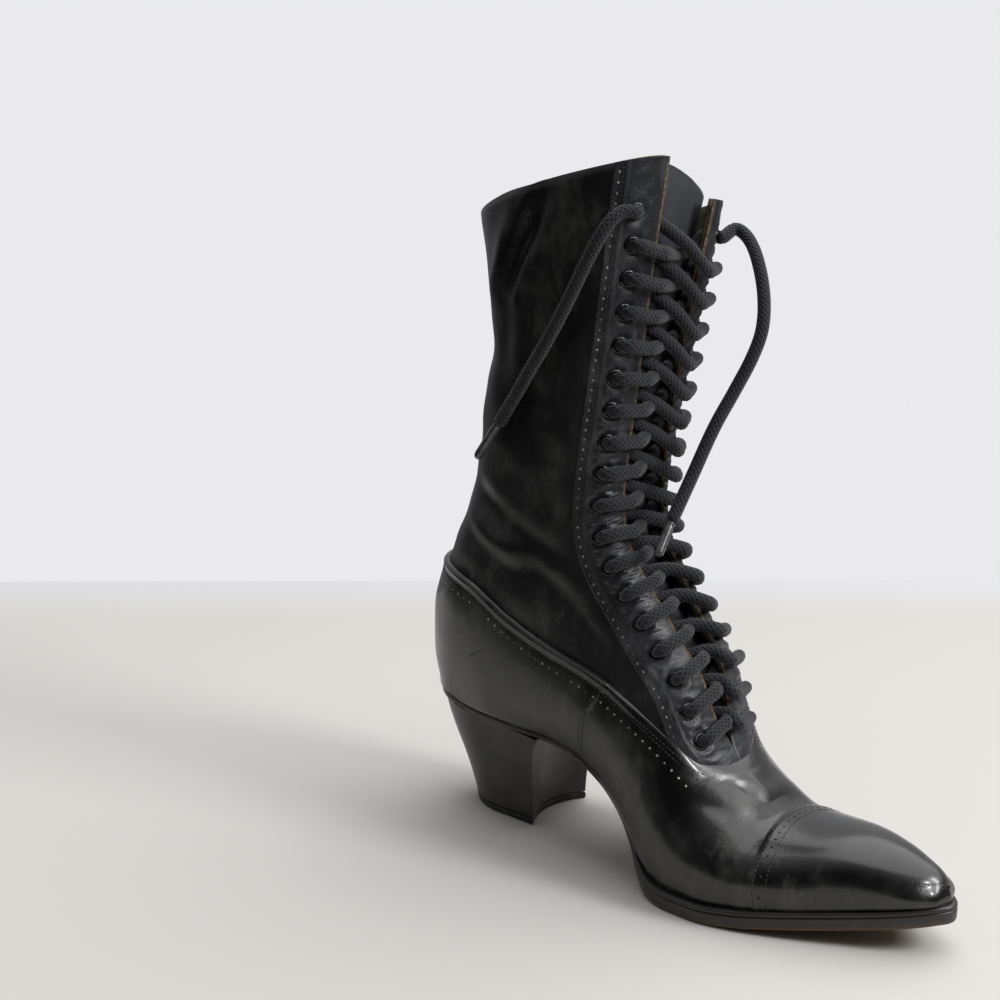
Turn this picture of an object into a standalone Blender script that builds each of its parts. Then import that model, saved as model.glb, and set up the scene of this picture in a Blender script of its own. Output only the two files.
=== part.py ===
"""Heeled lace-up ankle boot, left foot, standing on its sole.

Sizes are millimetres in the last's own frame: x runs from the back of the
counter to the toe, y to the wearer's left (the lateral side), z up from the
floor. Objects are written in metres about FRAME_CENTRE.
"""
import functools
import math

import bmesh
import bpy
import numpy as np
from mathutils import Vector, kdtree

MM = 0.001
FRAME_CENTRE = (122.0, 8.0)

SOLE_LENGTH = 245.0
SOLE_EDGE = 7.2
SEAT_THICKNESS = 3.5
SOLE_CHAMFER = 0.7
HEEL_LIFT = 3.0
SEAT_GAP = 0.3
WALL = 1.7
OVERLAY_GAP = 0.4
OVERLAY = 0.9
CAP_EXTRA = 0.4
HEEL_EASE = 0.7
HEEL_EASE_REACH = 34.0
EYESTAY_STEP = 0.7
EYESTAY_WIDTH = 23.5
TOE_CAP_X = 179.5
TOE_CAP_LEAN = -3.0
INSOLE_THICKNESS = 2.0
INSOLE_CLEARANCE = 2.7
TONGUE_THICKNESS = 2.0
TONGUE_CLEARANCE = 5.0
TONGUE_SEWN_CLEARANCE = 0.9
TONGUE_LAP = 4.5
TONGUE_FOOT_HALF = 8.5
TONGUE_RISE = 5.0
EYELETS = 18
EYELET_INSET = 12.5
EYELET_OUTER = 3.7
EYELET_HOLE = 2.1
EYELET_HEIGHT = 1.1
LACE_RADIUS = 2.4
LACE_CLEARANCE = 0.9
AGLET_RADIUS = 1.9
AGLET_LENGTH = 20.0
COLUMNS = 13

# Feather line, where the upper meets the sole: height and the two edges.
FEATHER_COLUMNS = ("x", "z", "medial_y", "lateral_y")
FEATHER = (
    (3.0, 50.3, 0.0, 0.0),
    (8.0, 50.2, -12.6, 12.6),
    (20.0, 49.4, -19.6, 19.6),
    (40.0, 47.9, -22.6, 22.6),
    (60.0, 46.2, -21.6, 21.8),
    (76.0, 44.4, -19.6, 20.6),
    (90.0, 40.0, -18.4, 20.4),
    (100.0, 34.6, -18.6, 21.2),
    (110.0, 27.2, -20.2, 23.0),
    (120.0, 18.6, -24.2, 26.4),
    (129.0, 11.6, -30.2, 29.4),
    (138.0, 8.2, -35.4, 31.4),
    (148.0, 7.5, -38.6, 32.4),
    (160.0, 7.5, -39.2, 32.3),
    (175.0, 8.5, -36.2, 30.4),
    (190.0, 10.4, -30.2, 26.6),
    (205.0, 12.6, -23.2, 21.4),
    (220.0, 15.0, -15.6, 15.4),
    (232.0, 17.2, -9.4, 11.0),
    (239.0, 18.5, -4.2, 7.0),
    (241.8, 19.0, 1.5, 1.5),
)

# Sole outline, top edge.
SOLE_COLUMNS = ("x", "medial_y", "lateral_y")
SOLE = (
    (2.4, 0.0, 0.0),
    (8.0, -13.6, 13.6),
    (20.0, -20.8, 20.8),
    (40.0, -24.0, 24.0),
    (60.0, -23.0, 23.2),
    (76.0, -20.8, 21.8),
    (90.0, -19.6, 21.6),
    (100.0, -19.8, 22.4),
    (110.0, -21.6, 24.4),
    (120.0, -26.4, 28.2),
    (129.0, -33.6, 32.0),
    (138.0, -39.6, 34.4),
    (148.0, -42.4, 35.5),
    (160.0, -42.6, 35.4),
    (175.0, -39.4, 33.5),
    (190.0, -33.4, 29.8),
    (205.0, -26.4, 24.7),
    (220.0, -18.8, 18.7),
    (232.0, -12.6, 14.0),
    (240.0, -6.8, 9.4),
    (245.0, 1.6, 1.6),
)

# Sole thickness along the foot.
THICKNESS_COLUMNS = ("x", "thick")
THICKNESS = (
    (0.0, SEAT_THICKNESS),
    (70.0, SEAT_THICKNESS),
    (95.0, 4.2),
    (120.0, 5.6),
    (138.0, SOLE_EDGE),
    (250.0, SOLE_EDGE),
)

# Heel block: back line, breast, half width and breast hollow by height.
HEEL_COLUMNS = ("z", "back_x", "breast_x", "half_y", "hollow")
HEEL = (
    (0.0, 22.2, 63.6, 18.0, 6.0),
    (4.0, 21.2, 63.6, 18.1, 6.0),
    (18.0, 16.2, 64.2, 19.4, 5.6),
    (33.0, 9.4, 66.4, 21.8, 4.6),
    (50.0, 2.4, 71.0, 24.0, 3.0),
)

# Sections of the last. Each runs from its top point (ridge of the vamp, then
# the edge of the throat) to its foot (the feather line, then the back seam).
SECTION_COLUMNS = ("top_x", "top_z", "foot_x", "foot_z", "top_y", "foot_y", "medial_y",
                   "lateral_y", "peak", "turn", "gap", "roll", "rise", "front")
SECTIONS = (
    (242.2, 25.0, 241.8, 19.0, 1.5, 1.5, 1.5, 1.5, 0.70, 0.80, 0.0, 0.0, 0.0, 1.00),
    (240.6, 27.4, 240.0, 18.7, 1.4, 1.4, -5.0, 7.8, 0.70, 0.80, 0.0, 0.0, 0.0, 1.00),
    (236.4, 30.2, 236.6, 18.1, 1.2, 1.2, -8.8, 10.4, 0.70, 0.80, 0.0, 0.0, 0.0, 1.00),
    (227.0, 31.8, 227.6, 16.4, 0.8, 0.8, -14.0, 14.0, 0.70, 0.80, 0.0, 0.0, 0.0, 1.00),
    (211.0, 33.2, 210.0, 13.4, 0.0, 0.0, -22.2, 19.8, 0.70, 0.80, 0.0, 0.0, 0.0, 1.00),
    (193.0, 33.6, 190.0, 10.4, -1.2, -1.0, -31.4, 27.0, 0.70, 0.80, 0.0, 0.0, 0.0, 1.00),
    (178.5, 34.2, 172.0, 8.2, -2.4, -2.0, -38.0, 31.4, 0.70, 0.80, 0.0, 0.0, 0.0, 1.00),
    (166.0, 41.8, 154.0, 7.4, -3.2, -3.0, -40.8, 33.2, 0.70, 0.80, 0.0, 0.0, 0.0, 1.00),
    (153.0, 53.8, 134.0, 9.4, -3.6, -2.0, -38.4, 34.0, 0.66, 0.75, 0.0, 0.0, 0.0, 0.95),
    (146.4, 66.0, 112.0, 25.6, -3.0, 0.0, -33.8, 33.4, 0.60, 0.66, 3.6, 0.0, 0.0, 0.85),
    (138.6, 83.2, 86.0, 41.6, -0.5, 0.0, -30.4, 31.2, 0.56, 0.58, 6.7, 0.0, 0.0, 0.74),
    (129.8, 94.0, 56.0, 46.6, 0.8, 0.0, -28.6, 29.2, 0.54, 0.54, 8.3, 0.0, 0.0, 0.68),
    (121.2, 105.4, 26.0, 49.0, 1.4, 0.0, -27.8, 28.2, 0.54, 0.50, 9.3, 0.0, 0.0, 0.64),
    (114.6, 113.8, 8.6, 50.2, 2.0, 0.0, -27.6, 27.8, 0.54, 0.48, 10.0, 0.0, 0.0, 0.62),
    (110.0, 120.4, 3.0, 50.3, 2.2, 0.0, -27.6, 27.8, 0.54, 0.47, 10.7, 0.0, 0.0, 0.62),
    (106.0, 127.2, 0.2, 66.0, 2.6, 0.0, -27.8, 28.0, 0.54, 0.46, 11.3, 0.0, 0.0, 0.62),
    (103.4, 133.8, 0.6, 82.0, 2.9, 0.2, -28.0, 28.6, 0.53, 0.46, 11.7, 0.0, 0.0, 0.62),
    (101.8, 141.0, 5.4, 100.0, 3.4, 0.5, -28.0, 29.6, 0.52, 0.47, 12.1, 0.0, 0.3, 0.63),
    (101.0, 148.6, 12.6, 118.0, 4.2, 1.2, -27.8, 31.0, 0.51, 0.49, 12.2, 0.0, 0.6, 0.66),
    (101.0, 158.0, 20.4, 138.0, 5.4, 2.6, -27.8, 33.8, 0.50, 0.50, 12.1, 0.0, 1.0, 0.70),
    (101.8, 170.0, 24.6, 158.0, 6.4, 4.6, -28.4, 37.0, 0.50, 0.50, 11.9, 0.5, 1.5, 0.74),
    (103.0, 184.0, 27.4, 178.0, 7.6, 6.8, -29.0, 41.0, 0.50, 0.50, 11.8, 1.5, 2.2, 0.78),
    (104.8, 206.0, 31.0, 203.0, 9.7, 9.4, -29.4, 48.0, 0.50, 0.50, 12.0, 4.0, 3.5, 0.82),
    (107.6, 234.0, 27.0, 226.0, 12.8, 12.4, -28.8, 54.0, 0.50, 0.50, 13.2, 8.0, 5.0, 0.85),
    (112.0, 270.0, 19.0, 246.0, 16.5, 15.6, -26.6, 58.6, 0.50, 0.50, 14.8, 12.0, 5.5, 0.88),
)
HEEL_CORNER = 14
THROAT_BASE = 8
COLLAR = len(SECTIONS) - 1
SECTION_STEPS = (0, 1, 2, 3, 4, 5, 6, 7, 7.5, 8, 8.35, 8.7, 9, 9.35, 9.7, 10, 10.35, 10.7, 11.1, 11.6, 12.1, 12.6,
                 13, 13.25, 13.5, 13.75, 14, 14.25, 14.6, 15, 16, 17, 18, 19, 20, 21, 22, 23, 24)
FACING_COLUMNS = 4

# Top edge of the golosh (vamp and counter) seen from the side.
GOLOSH_COLUMNS = ("x", "z")
GOLOSH = (
    (-12.0, 109.0),
    (8.0, 109.0),
    (20.0, 108.4),
    (38.0, 105.4),
    (46.0, 101.8),
    (56.0, 96.0),
    (68.0, 90.8),
    (81.0, 86.6),
    (98.0, 82.2),
    (108.0, 78.8),
    (120.0, 73.4),
    (130.0, 68.0),
    (141.0, 60.6),
    (150.0, 53.6),
    (156.0, 51.4),
)

# Seam between the vamp and the counter, from the golosh edge down.
SEAM_COLUMNS = ("x", "z")
SIDE_SEAM = (
    (110.0, 77.8),
    (105.7, 71.0),
    (101.8, 65.0),
    (100.4, 56.5),
    (99.6, 49.0),
    (100.4, 43.0),
)

# Route of each free lace end from its top eyelet to the aglet.
ROUTE_COLUMNS = ("x", "y", "z")
MEDIAL_END = (
    (103.4, -25.6, 254.6),
    (99.6, -27.0, 246.6),
    (95.6, -28.0, 239.2),
    (91.0, -29.0, 229.8),
    (85.8, -30.4, 219.4),
    (79.8, -31.8, 208.6),
    (73.1, -32.6, 198.2),
    (65.6, -32.7, 186.8),
    (57.4, -32.2, 175.8),
)
MEDIAL_AGLET = ((57.1, -32.2, 175.4), (44.8, -31.2, 159.6))
LATERAL_END = (
    (109.6, 54.0, 251.5),
    (116.8, 52.4, 249.0),
    (125.0, 46.5, 238.0),
    (131.4, 40.2, 223.5),
    (134.2, 35.1, 212.0),
    (132.8, 30.8, 201.4),
    (129.1, 25.3, 189.1),
    (125.3, 17.1, 174.8),
    (122.2, 7.3, 156.5),
    (120.8, -3.4, 140.9),
)
LATERAL_AGLET = ((120.7, -3.9, 140.3), (121.7, -13.5, 129.1))

COLOURS = {
    "black_leather": ((0.012, 0.011, 0.011), 0.38, 0.0),
    "tongue_leather": ((0.016, 0.015, 0.014), 0.55, 0.0),
    "sole_leather": ((0.020, 0.016, 0.013), 0.50, 0.0),
    "stacked_heel": ((0.016, 0.014, 0.013), 0.42, 0.0),
    "rubber_lift": ((0.015, 0.015, 0.015), 0.70, 0.0),
    "insole_leather": ((0.180, 0.135, 0.080), 0.70, 0.0),
    "enamelled_eyelet": ((0.010, 0.010, 0.011), 0.30, 0.0),
    "braided_cord": ((0.014, 0.014, 0.016), 0.85, 0.0),
    "clear_aglet": ((0.220, 0.220, 0.225), 0.30, 0.0),
}


def monotone(knots, values, at):
    """Smooth curve through knots that never overshoots a table value."""
    knots = np.asarray(knots, float)
    values = np.asarray(values, float)
    at = np.clip(np.asarray(at, float), knots[0], knots[-1])
    step = np.diff(knots)
    slope = np.diff(values) / step
    tangent = np.zeros_like(values)
    tangent[0] = slope[0]
    tangent[-1] = slope[-1]
    for i in range(1, len(values) - 1):
        if slope[i - 1] * slope[i] > 0:
            a = 2 * step[i] + step[i - 1]
            b = step[i] + 2 * step[i - 1]
            tangent[i] = (a + b) / (a / slope[i - 1] + b / slope[i])
    i = np.clip(np.searchsorted(knots, at, side="right") - 1, 0, len(step) - 1)
    h = step[i]
    f = (at - knots[i]) / h
    return (values[i] * (1 + 2 * f) * (1 - f) ** 2 + tangent[i] * h * f * (1 - f) ** 2
            + values[i + 1] * f ** 2 * (3 - 2 * f) + tangent[i + 1] * h * f ** 2 * (f - 1))


def table_column(table, names, name):
    """One named column of a table."""
    return [row[names.index(name)] for row in table]


@functools.lru_cache(maxsize=None)
def section(name, s):
    """A named size of the last at section number s."""
    return monotone(range(len(SECTIONS)), table_column(SECTIONS, SECTION_COLUMNS, name), s)


def along(table, names, name, x):
    """A named column of a table read at x."""
    return monotone(table_column(table, names, "x"), table_column(table, names, name), x)


def outline(table, names, name, x):
    """An edge of an outline at x, true to its round ends."""
    xs = np.array(table_column(table, names, "x"))

    def turn(v):
        part = np.clip((np.asarray(v, float) - xs[0]) / (xs[-1] - xs[0]), 0.0, 1.0)
        return np.arccos(1 - 2 * part)

    return monotone(turn(xs), table_column(table, names, name), turn(x))


def feather_z(x):
    """Height of the feather line."""
    return along(FEATHER, FEATHER_COLUMNS, "z", x)


def sole_top(x):
    """Height of the sole's top face."""
    return feather_z(x) - SEAT_GAP


def sole_bottom(x):
    """Height of the sole's under face, flat on the floor at the ball."""
    return np.maximum(sole_top(x) - along(THICKNESS, THICKNESS_COLUMNS, "thick", x), 0.0)


def last_point(s, side, turn):
    """Outer face of the plain upper at section s; turn goes 0 at the top to 1 at the foot."""
    name = "medial_y" if side < 0 else "lateral_y"
    peak = section("peak", s)
    split = 0.5
    if turn <= split:
        angle = turn / split * math.pi / 2
        t = peak * (1 - math.cos(angle))
        rise = math.sin(angle) ** float(section("front", s))
    else:
        angle = (turn - split) / (1 - split) * math.pi / 2
        t = peak + (1 - peak) * math.sin(angle)
        rise = math.cos(angle)
    foot_x = section("foot_x", s)
    foot_z = section("foot_z", s)
    foot_y = section("foot_y", s)
    if s < HEEL_CORNER:
        foot_z = feather_z(foot_x)
        foot_y = outline(FEATHER, FEATHER_COLUMNS, name, foot_x)
    x = section("top_x", s) * (1 - t) + foot_x * t
    z = section("top_z", s) * (1 - t) + foot_z * t
    widest = section(name, s)
    edge = section("top_y", s) + side * section("gap", s)
    if turn <= split:
        y = edge + (widest - edge) * rise
    else:
        power = section("turn", s) / 0.5
        y = foot_y + (widest - foot_y) * rise ** power
    centre = section("top_y", s)
    z -= math.tan(math.radians(float(section("roll", s)))) * (y - centre)
    if turn <= split:
        z -= side * section("rise", s) * (1 - turn / split)
    return Vector((float(x), float(y), float(z)))


@functools.lru_cache(maxsize=None)
def facing_turn(s, side, distance):
    """The turn that lies a given distance round from the top edge of a section."""
    walked = 0.0
    before = last_point(s, side, 0.0)
    steps = 60
    for i in range(1, steps + 1):
        here = last_point(s, side, i / steps)
        gone = (here - before).length
        if walked + gone >= distance:
            return (i - 1 + (distance - walked) / gone) / steps
        walked += gone
        before = here
    return 1.0


def last_normal(s, side, turn):
    """Outward normal of the plain upper."""
    small = 0.02
    low = max(s - small, 0.0)
    high = min(s + small, COLLAR)
    left = max(turn - small, 0.0)
    right = min(turn + small, 1.0)
    across = last_point(s, side, right) - last_point(s, side, left)
    up = last_point(high, side, turn) - last_point(low, side, turn)
    normal = across.cross(up) * side
    return normal.normalized()


def new_object(name, material):
    """An empty named mesh object with its own Principled material."""
    mesh = bpy.data.meshes.new(name)
    item = bpy.data.objects.new(name, mesh)
    bpy.context.scene.collection.objects.link(item)
    item.parent = bpy.data.objects["boot"]
    item.data.materials.append(make_material(name, material))
    return item


def make_material(name, kind):
    """Principled material of a kind for one object."""
    colour, rough, metal = COLOURS[kind]
    material = bpy.data.materials.new(name + "_" + kind)
    material.use_nodes = True
    shader = material.node_tree.nodes["Principled BSDF"]
    shader.inputs["Base Color"].default_value = (*colour, 1.0)
    shader.inputs["Roughness"].default_value = rough
    shader.inputs["Metallic"].default_value = metal
    material.diffuse_color = (*colour, 1.0)
    return material


def fill(item, bm):
    """Weld, face outward, move to the frame and store a mesh."""
    bmesh.ops.remove_doubles(bm, verts=bm.verts, dist=0.002)
    bmesh.ops.dissolve_degenerate(bm, edges=bm.edges, dist=0.001)
    bmesh.ops.recalc_face_normals(bm, faces=bm.faces)
    if bm.calc_volume(signed=True) < 0:
        bmesh.ops.reverse_faces(bm, faces=bm.faces)
    for vert in bm.verts:
        vert.co = Vector((vert.co.x - FRAME_CENTRE[0], vert.co.y - FRAME_CENTRE[1], vert.co.z)) * MM
    bm.to_mesh(item.data)
    bm.free()


def skin(bm, steps, turns, sides=(-1, 1)):
    """The upper's outer face over given sections and turns, welded where sides meet."""
    for side in sides:
        grid = []
        for s in steps:
            grid.append([bm.verts.new(last_point(s, side, turn(s, side))) for turn in turns])
        for lower, upper in zip(grid, grid[1:]):
            for i in range(len(turns) - 1):
                for corners in ([lower[i], lower[i + 1], upper[i + 1]], [lower[i], upper[i + 1], upper[i]]):
                    if side < 0:
                        corners.reverse()
                    bm.faces.new(corners)
    bmesh.ops.remove_doubles(bm, verts=bm.verts, dist=0.01)
    bm.normal_update()


def skin_normals():
    """Normals of the whole welded skin, found again by place."""
    bm = bmesh.new()
    skin(bm, SECTION_STEPS, [column_turn(i) for i in range(COLUMNS + 1)])
    tree = kdtree.KDTree(len(bm.verts))
    normals = []
    for i, vert in enumerate(bm.verts):
        tree.insert(vert.co, i)
        normals.append(vert.normal.copy())
    tree.balance()
    bm.free()
    return lambda point: normals[tree.find(point)[1]]


def heel_ease(point):
    """Extra lift of an overlay where its wall rounds the tight heel corner."""
    corner = Vector((FEATHER[0][0], 0.0, FEATHER[0][1]))
    return HEEL_EASE * max(0.0, 1 - (point - corner).length / HEEL_EASE_REACH)


def thicken(bm, outside, inside, normal_at):
    """Turn an open skin into a closed wall between two offsets along its normals."""
    skin_faces = list(bm.faces)
    skin_verts = list(bm.verts)
    normals = {vert: normal_at(vert.co) for vert in skin_verts}
    rim_order = []
    for edge in bm.edges:
        if len(edge.link_faces) == 1:
            for loop in edge.link_faces[0].loops:
                if loop.edge == edge:
                    rim_order.append((loop.vert, loop.link_loop_next.vert))
    inner = {}
    for vert in skin_verts:
        vert.co += normals[vert] * heel_ease(vert.co) * (inside > 0)
        inner[vert] = bm.verts.new(vert.co + normals[vert] * inside)
        if vert.is_boundary and inside < 0:
            inner[vert].co.z = max(inner[vert].co.z, vert.co.z)
    for face in skin_faces:
        bm.faces.new([inner[vert] for vert in reversed(face.verts[:])])
    for first, second in rim_order:
        bm.faces.new([second, first, inner[first], inner[second]])
    for vert in skin_verts:
        vert.co += normals[vert] * outside


def column_turn(i):
    """Turn of a column of the skin: evenly spaced over the toe, along the eyestay above it."""
    def turn(s, side):
        blend = min(max((s - THROAT_BASE + 0.5) / 0.85, 0.0), 1.0)
        reach = blend * facing_turn(s, side, EYESTAY_WIDTH) + (1 - blend) * FACING_COLUMNS / COLUMNS
        if i > FACING_COLUMNS:
            return reach + (1 - reach) * (i - FACING_COLUMNS) / (COLUMNS - FACING_COLUMNS)
        facing = facing_turn(s, side, EYESTAY_WIDTH * i / FACING_COLUMNS)
        return blend * facing + (1 - blend) * i / COLUMNS
    return turn


def covered_turn(i):
    """A column drawn up clear of the sole, reaching the back seam above the heel corner."""
    knots = (0.0, 2.0, 4.0, 6.0, 12.6, 13.0, 13.5, HEEL_CORNER)
    ends = (0.66, 0.72, 0.80, 0.86, 0.86, 0.88, 0.93, 1.0)
    plain = column_turn(i)

    def turn(s, side):
        value = plain(s, side)
        if value <= 0.5:
            return value
        return 0.5 + (value - 0.5) * (float(monotone(knots, ends, s)) - 0.5) / 0.5
    return turn


def add_wall(name, material, steps, turns, outside, inside, normal_at, sides=(-1, 1)):
    """A wall solid cut from the upper's own surface."""
    item = new_object(name, material)
    bm = bmesh.new()
    skin(bm, steps, turns, sides)
    thicken(bm, outside, inside, normal_at)
    fill(item, bm)
    return item


def cut_to(item, points):
    """Keep the part of an object inside a side-view outline."""
    block = new_object(item.name + "_cut", "black_leather")
    bm = bmesh.new()
    reach = 90.0
    near = [bm.verts.new((x, -reach, z)) for x, z in points]
    far = [bm.verts.new((x, reach, z)) for x, z in points]
    bm.faces.new(near)
    bm.faces.new(list(reversed(far)))
    for i in range(len(points)):
        j = (i + 1) % len(points)
        bm.faces.new([near[j], near[i], far[i], far[j]])
    fill(block, bm)
    combine(item, block, "INTERSECT")


def combine(item, other, operation):
    """Boolean of two objects, applied, with the second one removed."""
    modifier = item.modifiers.new(operation.lower(), "BOOLEAN")
    modifier.operation = operation
    modifier.solver = "EXACT"
    modifier.object = other
    graph = bpy.context.evaluated_depsgraph_get()
    result = bpy.data.meshes.new_from_object(item.evaluated_get(graph), depsgraph=graph)
    item.modifiers.clear()
    old = item.data
    name = old.name
    item.data = result
    bpy.data.meshes.remove(old)
    item.data.name = name
    mesh = other.data
    bpy.data.objects.remove(other)
    bpy.data.meshes.remove(mesh)
    bm = bmesh.new()
    bm.from_mesh(item.data)
    bmesh.ops.triangulate(bm, faces=[face for face in bm.faces if len(face.verts) > 4])
    bmesh.ops.remove_doubles(bm, verts=bm.verts, dist=0.00001)
    bmesh.ops.dissolve_degenerate(bm, edges=bm.edges, dist=0.00001)
    for face in bm.faces:
        face.material_index = 0
    bm.to_mesh(item.data)
    bm.free()
    while len(item.data.materials) > 1:
        item.data.materials.pop(index=len(item.data.materials) - 1)


def build_upper():
    """The hollow upper and the overlays cut from its own surface."""
    normal_at = skin_normals()
    whole = [column_turn(i) for i in range(COLUMNS + 1)]
    add_wall("upper", "black_leather", SECTION_STEPS, whole, 0.0, -WALL, normal_at)
    covered = [covered_turn(i) for i in range(COLUMNS + 1)]
    low_steps = [s for s in SECTION_STEPS if s <= 19]
    high = OVERLAY_GAP + OVERLAY
    seam = list(SIDE_SEAM)
    cap_top = (TOE_CAP_X + TOE_CAP_LEAN, 62.0)
    cap_foot = (TOE_CAP_X - TOE_CAP_LEAN, -8.0)
    behind = [(x, z) for x, z in GOLOSH if x < seam[0][0]]
    ahead = [(x, z) for x, z in GOLOSH if x > seam[0][0]]
    counter = add_wall("counter", "black_leather", low_steps, covered, high, OVERLAY_GAP, normal_at)
    cut_to(counter, behind + [(x - OVERLAY_GAP, z) for x, z in seam] + [(seam[-1][0], -8.0), (-12.0, -8.0)])
    vamp = add_wall("vamp", "black_leather", low_steps, covered, high, OVERLAY_GAP, normal_at)
    front = [(170.0, 62.0), (cap_top[0] - OVERLAY_GAP, 62.0), (cap_foot[0] - OVERLAY_GAP, -8.0)]
    cut_to(vamp, ahead + front + [(seam[-1][0], -8.0)] + list(reversed(seam)))
    cap_steps = [s for s in SECTION_STEPS if s <= 7]
    cap = add_wall("toe_cap", "black_leather", cap_steps, covered, high + CAP_EXTRA, OVERLAY_GAP, normal_at)
    cut_to(cap, [cap_foot, cap_top, (262.0, 62.0), (262.0, -8.0)])
    stay_steps = [s for s in SECTION_STEPS if s > THROAT_BASE]
    above = [(x, z + 0.4) for x, z in GOLOSH] + [(170.0, 300.0), (-12.0, 300.0)]
    for side, name in ((-1, "eyestay_medial"), (1, "eyestay_lateral")):
        turns = [column_turn(i) for i in range(FACING_COLUMNS + 1)]
        high = OVERLAY_GAP + EYESTAY_STEP
        stay = add_wall(name, "black_leather", stay_steps, turns, high, OVERLAY_GAP, normal_at, (side,))
        cut_to(stay, above)


def plate(name, material, stations, edges, heights, chamfer):
    """A plate lofted along the foot: edges(x) gives y limits, heights(x) gives z limits."""
    item = new_object(name, material)
    bm = bmesh.new()
    rings = []
    for x in stations:
        medial, lateral = (float(v) for v in edges(x))
        low, high = (float(v) for v in heights(x))
        inset = min(chamfer, 0.3 * (lateral - medial))
        drop = chamfer if inset > 0 else 0.0
        ring = [(medial + inset, high), (medial, high - drop), (medial, low + drop), (medial + inset, low),
                (lateral - inset, low), (lateral, low + drop), (lateral, high - drop), (lateral - inset, high)]
        rings.append([bm.verts.new((x, y, z)) for y, z in ring])
    for first, second in zip(rings, rings[1:]):
        for i in range(len(first)):
            j = (i + 1) % len(first)
            bm.faces.new([first[i], first[j], second[j], second[i]])
    bm.faces.new(rings[0])
    bm.faces.new(list(reversed(rings[-1])))
    fill(item, bm)
    return item


def sole_stations():
    """Stations along the foot, close together at the two round ends."""
    first = SOLE[0][0]
    last = SOLE[-1][0]
    count = 40
    even = [first + (last - first) * (1 - math.cos(math.pi * i / count)) / 2 for i in range(count + 1)]
    return sorted(even + [125.0, 128.5, 132.0, 136.0])


def build_sole():
    """Outsole with its arch, toe spring and edge."""
    def edges(x):
        return outline(SOLE, SOLE_COLUMNS, "medial_y", x), outline(SOLE, SOLE_COLUMNS, "lateral_y", x)

    def heights(x):
        return sole_bottom(x), sole_top(x)

    plate("outsole", "sole_leather", sole_stations(), edges, heights, SOLE_CHAMFER)


def build_insole():
    """Insole lying on the sole inside the upper's lower edge."""
    def edges(x):
        x = x - INSOLE_CLEARANCE * float(monotone((0.0, 30.0, 60.0), (1.0, 1.0, 0.0), x))
        x = x + INSOLE_CLEARANCE * float(monotone((180.0, 215.0, 250.0), (0.0, 1.2, 1.5), x))
        medial = outline(FEATHER, FEATHER_COLUMNS, "medial_y", x) + INSOLE_CLEARANCE
        lateral = outline(FEATHER, FEATHER_COLUMNS, "lateral_y", x) - INSOLE_CLEARANCE
        return medial, lateral

    def heights(x):
        low = sole_top(x) + SEAT_GAP
        return low, low + INSOLE_THICKNESS

    first = FEATHER[0][0] + 3.4
    last = FEATHER[-1][0] - 6.4
    stations = [x for x in sole_stations() if first + 0.5 < x < last - 0.5]
    stations = [first] + stations + [last]
    plate("insole", "insole_leather", stations, edges, heights, 0.4)


def heel_ring(z):
    """Outline of the heel at a height, from the medial breast corner round the back."""
    def size(name):
        return float(monotone(table_column(HEEL, HEEL_COLUMNS, "z"),
                              table_column(HEEL, HEEL_COLUMNS, name), z))

    back = size("back_x")
    breast = size("breast_x")
    half = size("half_y")
    hollow = size("hollow")
    wide = back + 1.25 * half
    sides = []
    arc = 10
    for i in range(arc + 1):
        angle = math.pi / 2 * i / arc
        sides.append((back + (wide - back) * (1 - math.sin(angle)), half * math.cos(angle)))
    straight = 2
    run = [(breast + (wide - breast) * i / straight, half) for i in range(straight)]
    line = run + sides
    ring = [(x, -y) for x, y in line] + [(x, y) for x, y in reversed(line[:-1])]
    front = []
    bites = 6
    for i in range(1, bites):
        part = 1 - 2 * i / bites
        front.append((breast - hollow * (1 - part * part), half * part))
    return ring, front


def stack(name, material, levels):
    """A heel piece lofted through rings; the last level may follow the sole."""
    item = new_object(name, material)
    bm = bmesh.new()
    rings = []
    for z, follow in levels:
        ring, front = heel_ring(z)
        points = ring + front
        rings.append([bm.verts.new((x, y, float(sole_bottom(x)) - SEAT_GAP if follow else z)) for x, y in points])
    for first, second in zip(rings, rings[1:]):
        for i in range(len(first)):
            j = (i + 1) % len(first)
            bm.faces.new([first[i], first[j], second[j], second[i]])
    bm.faces.new(list(reversed(rings[0])))
    bm.faces.new(rings[-1])
    bmesh.ops.triangulate(bm, faces=[face for face in bm.faces if len(face.verts) > 4])
    fill(item, bm)
    return item


def build_heel():
    """Heel block under the seat and the lift it stands on."""
    stack("heel_lift", "rubber_lift", ((0.0, False), (HEEL_LIFT, False)))
    top = 45.0
    levels = [(HEEL_LIFT + SEAT_GAP, False)]
    for part in (0.25, 0.5, 0.75):
        levels.append((HEEL_LIFT + (top - 6.0 - HEEL_LIFT) * part, False))
    levels.append((top, True))
    stack("heel", "stacked_heel", levels)


def front_depth(s, side, y):
    """Point on the section's front at a sideways place, measured back from the throat."""
    edge = float(section("top_y", s) + side * section("gap", s))
    widest = float(section("medial_y" if side < 0 else "lateral_y", s))
    part = (y - edge) / (widest - edge)
    part = min(max(part, 0.0), 0.98) ** (1 / float(section("front", s)))
    return float(section("peak", s)) * (1 - math.sqrt(1 - part * part))


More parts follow.
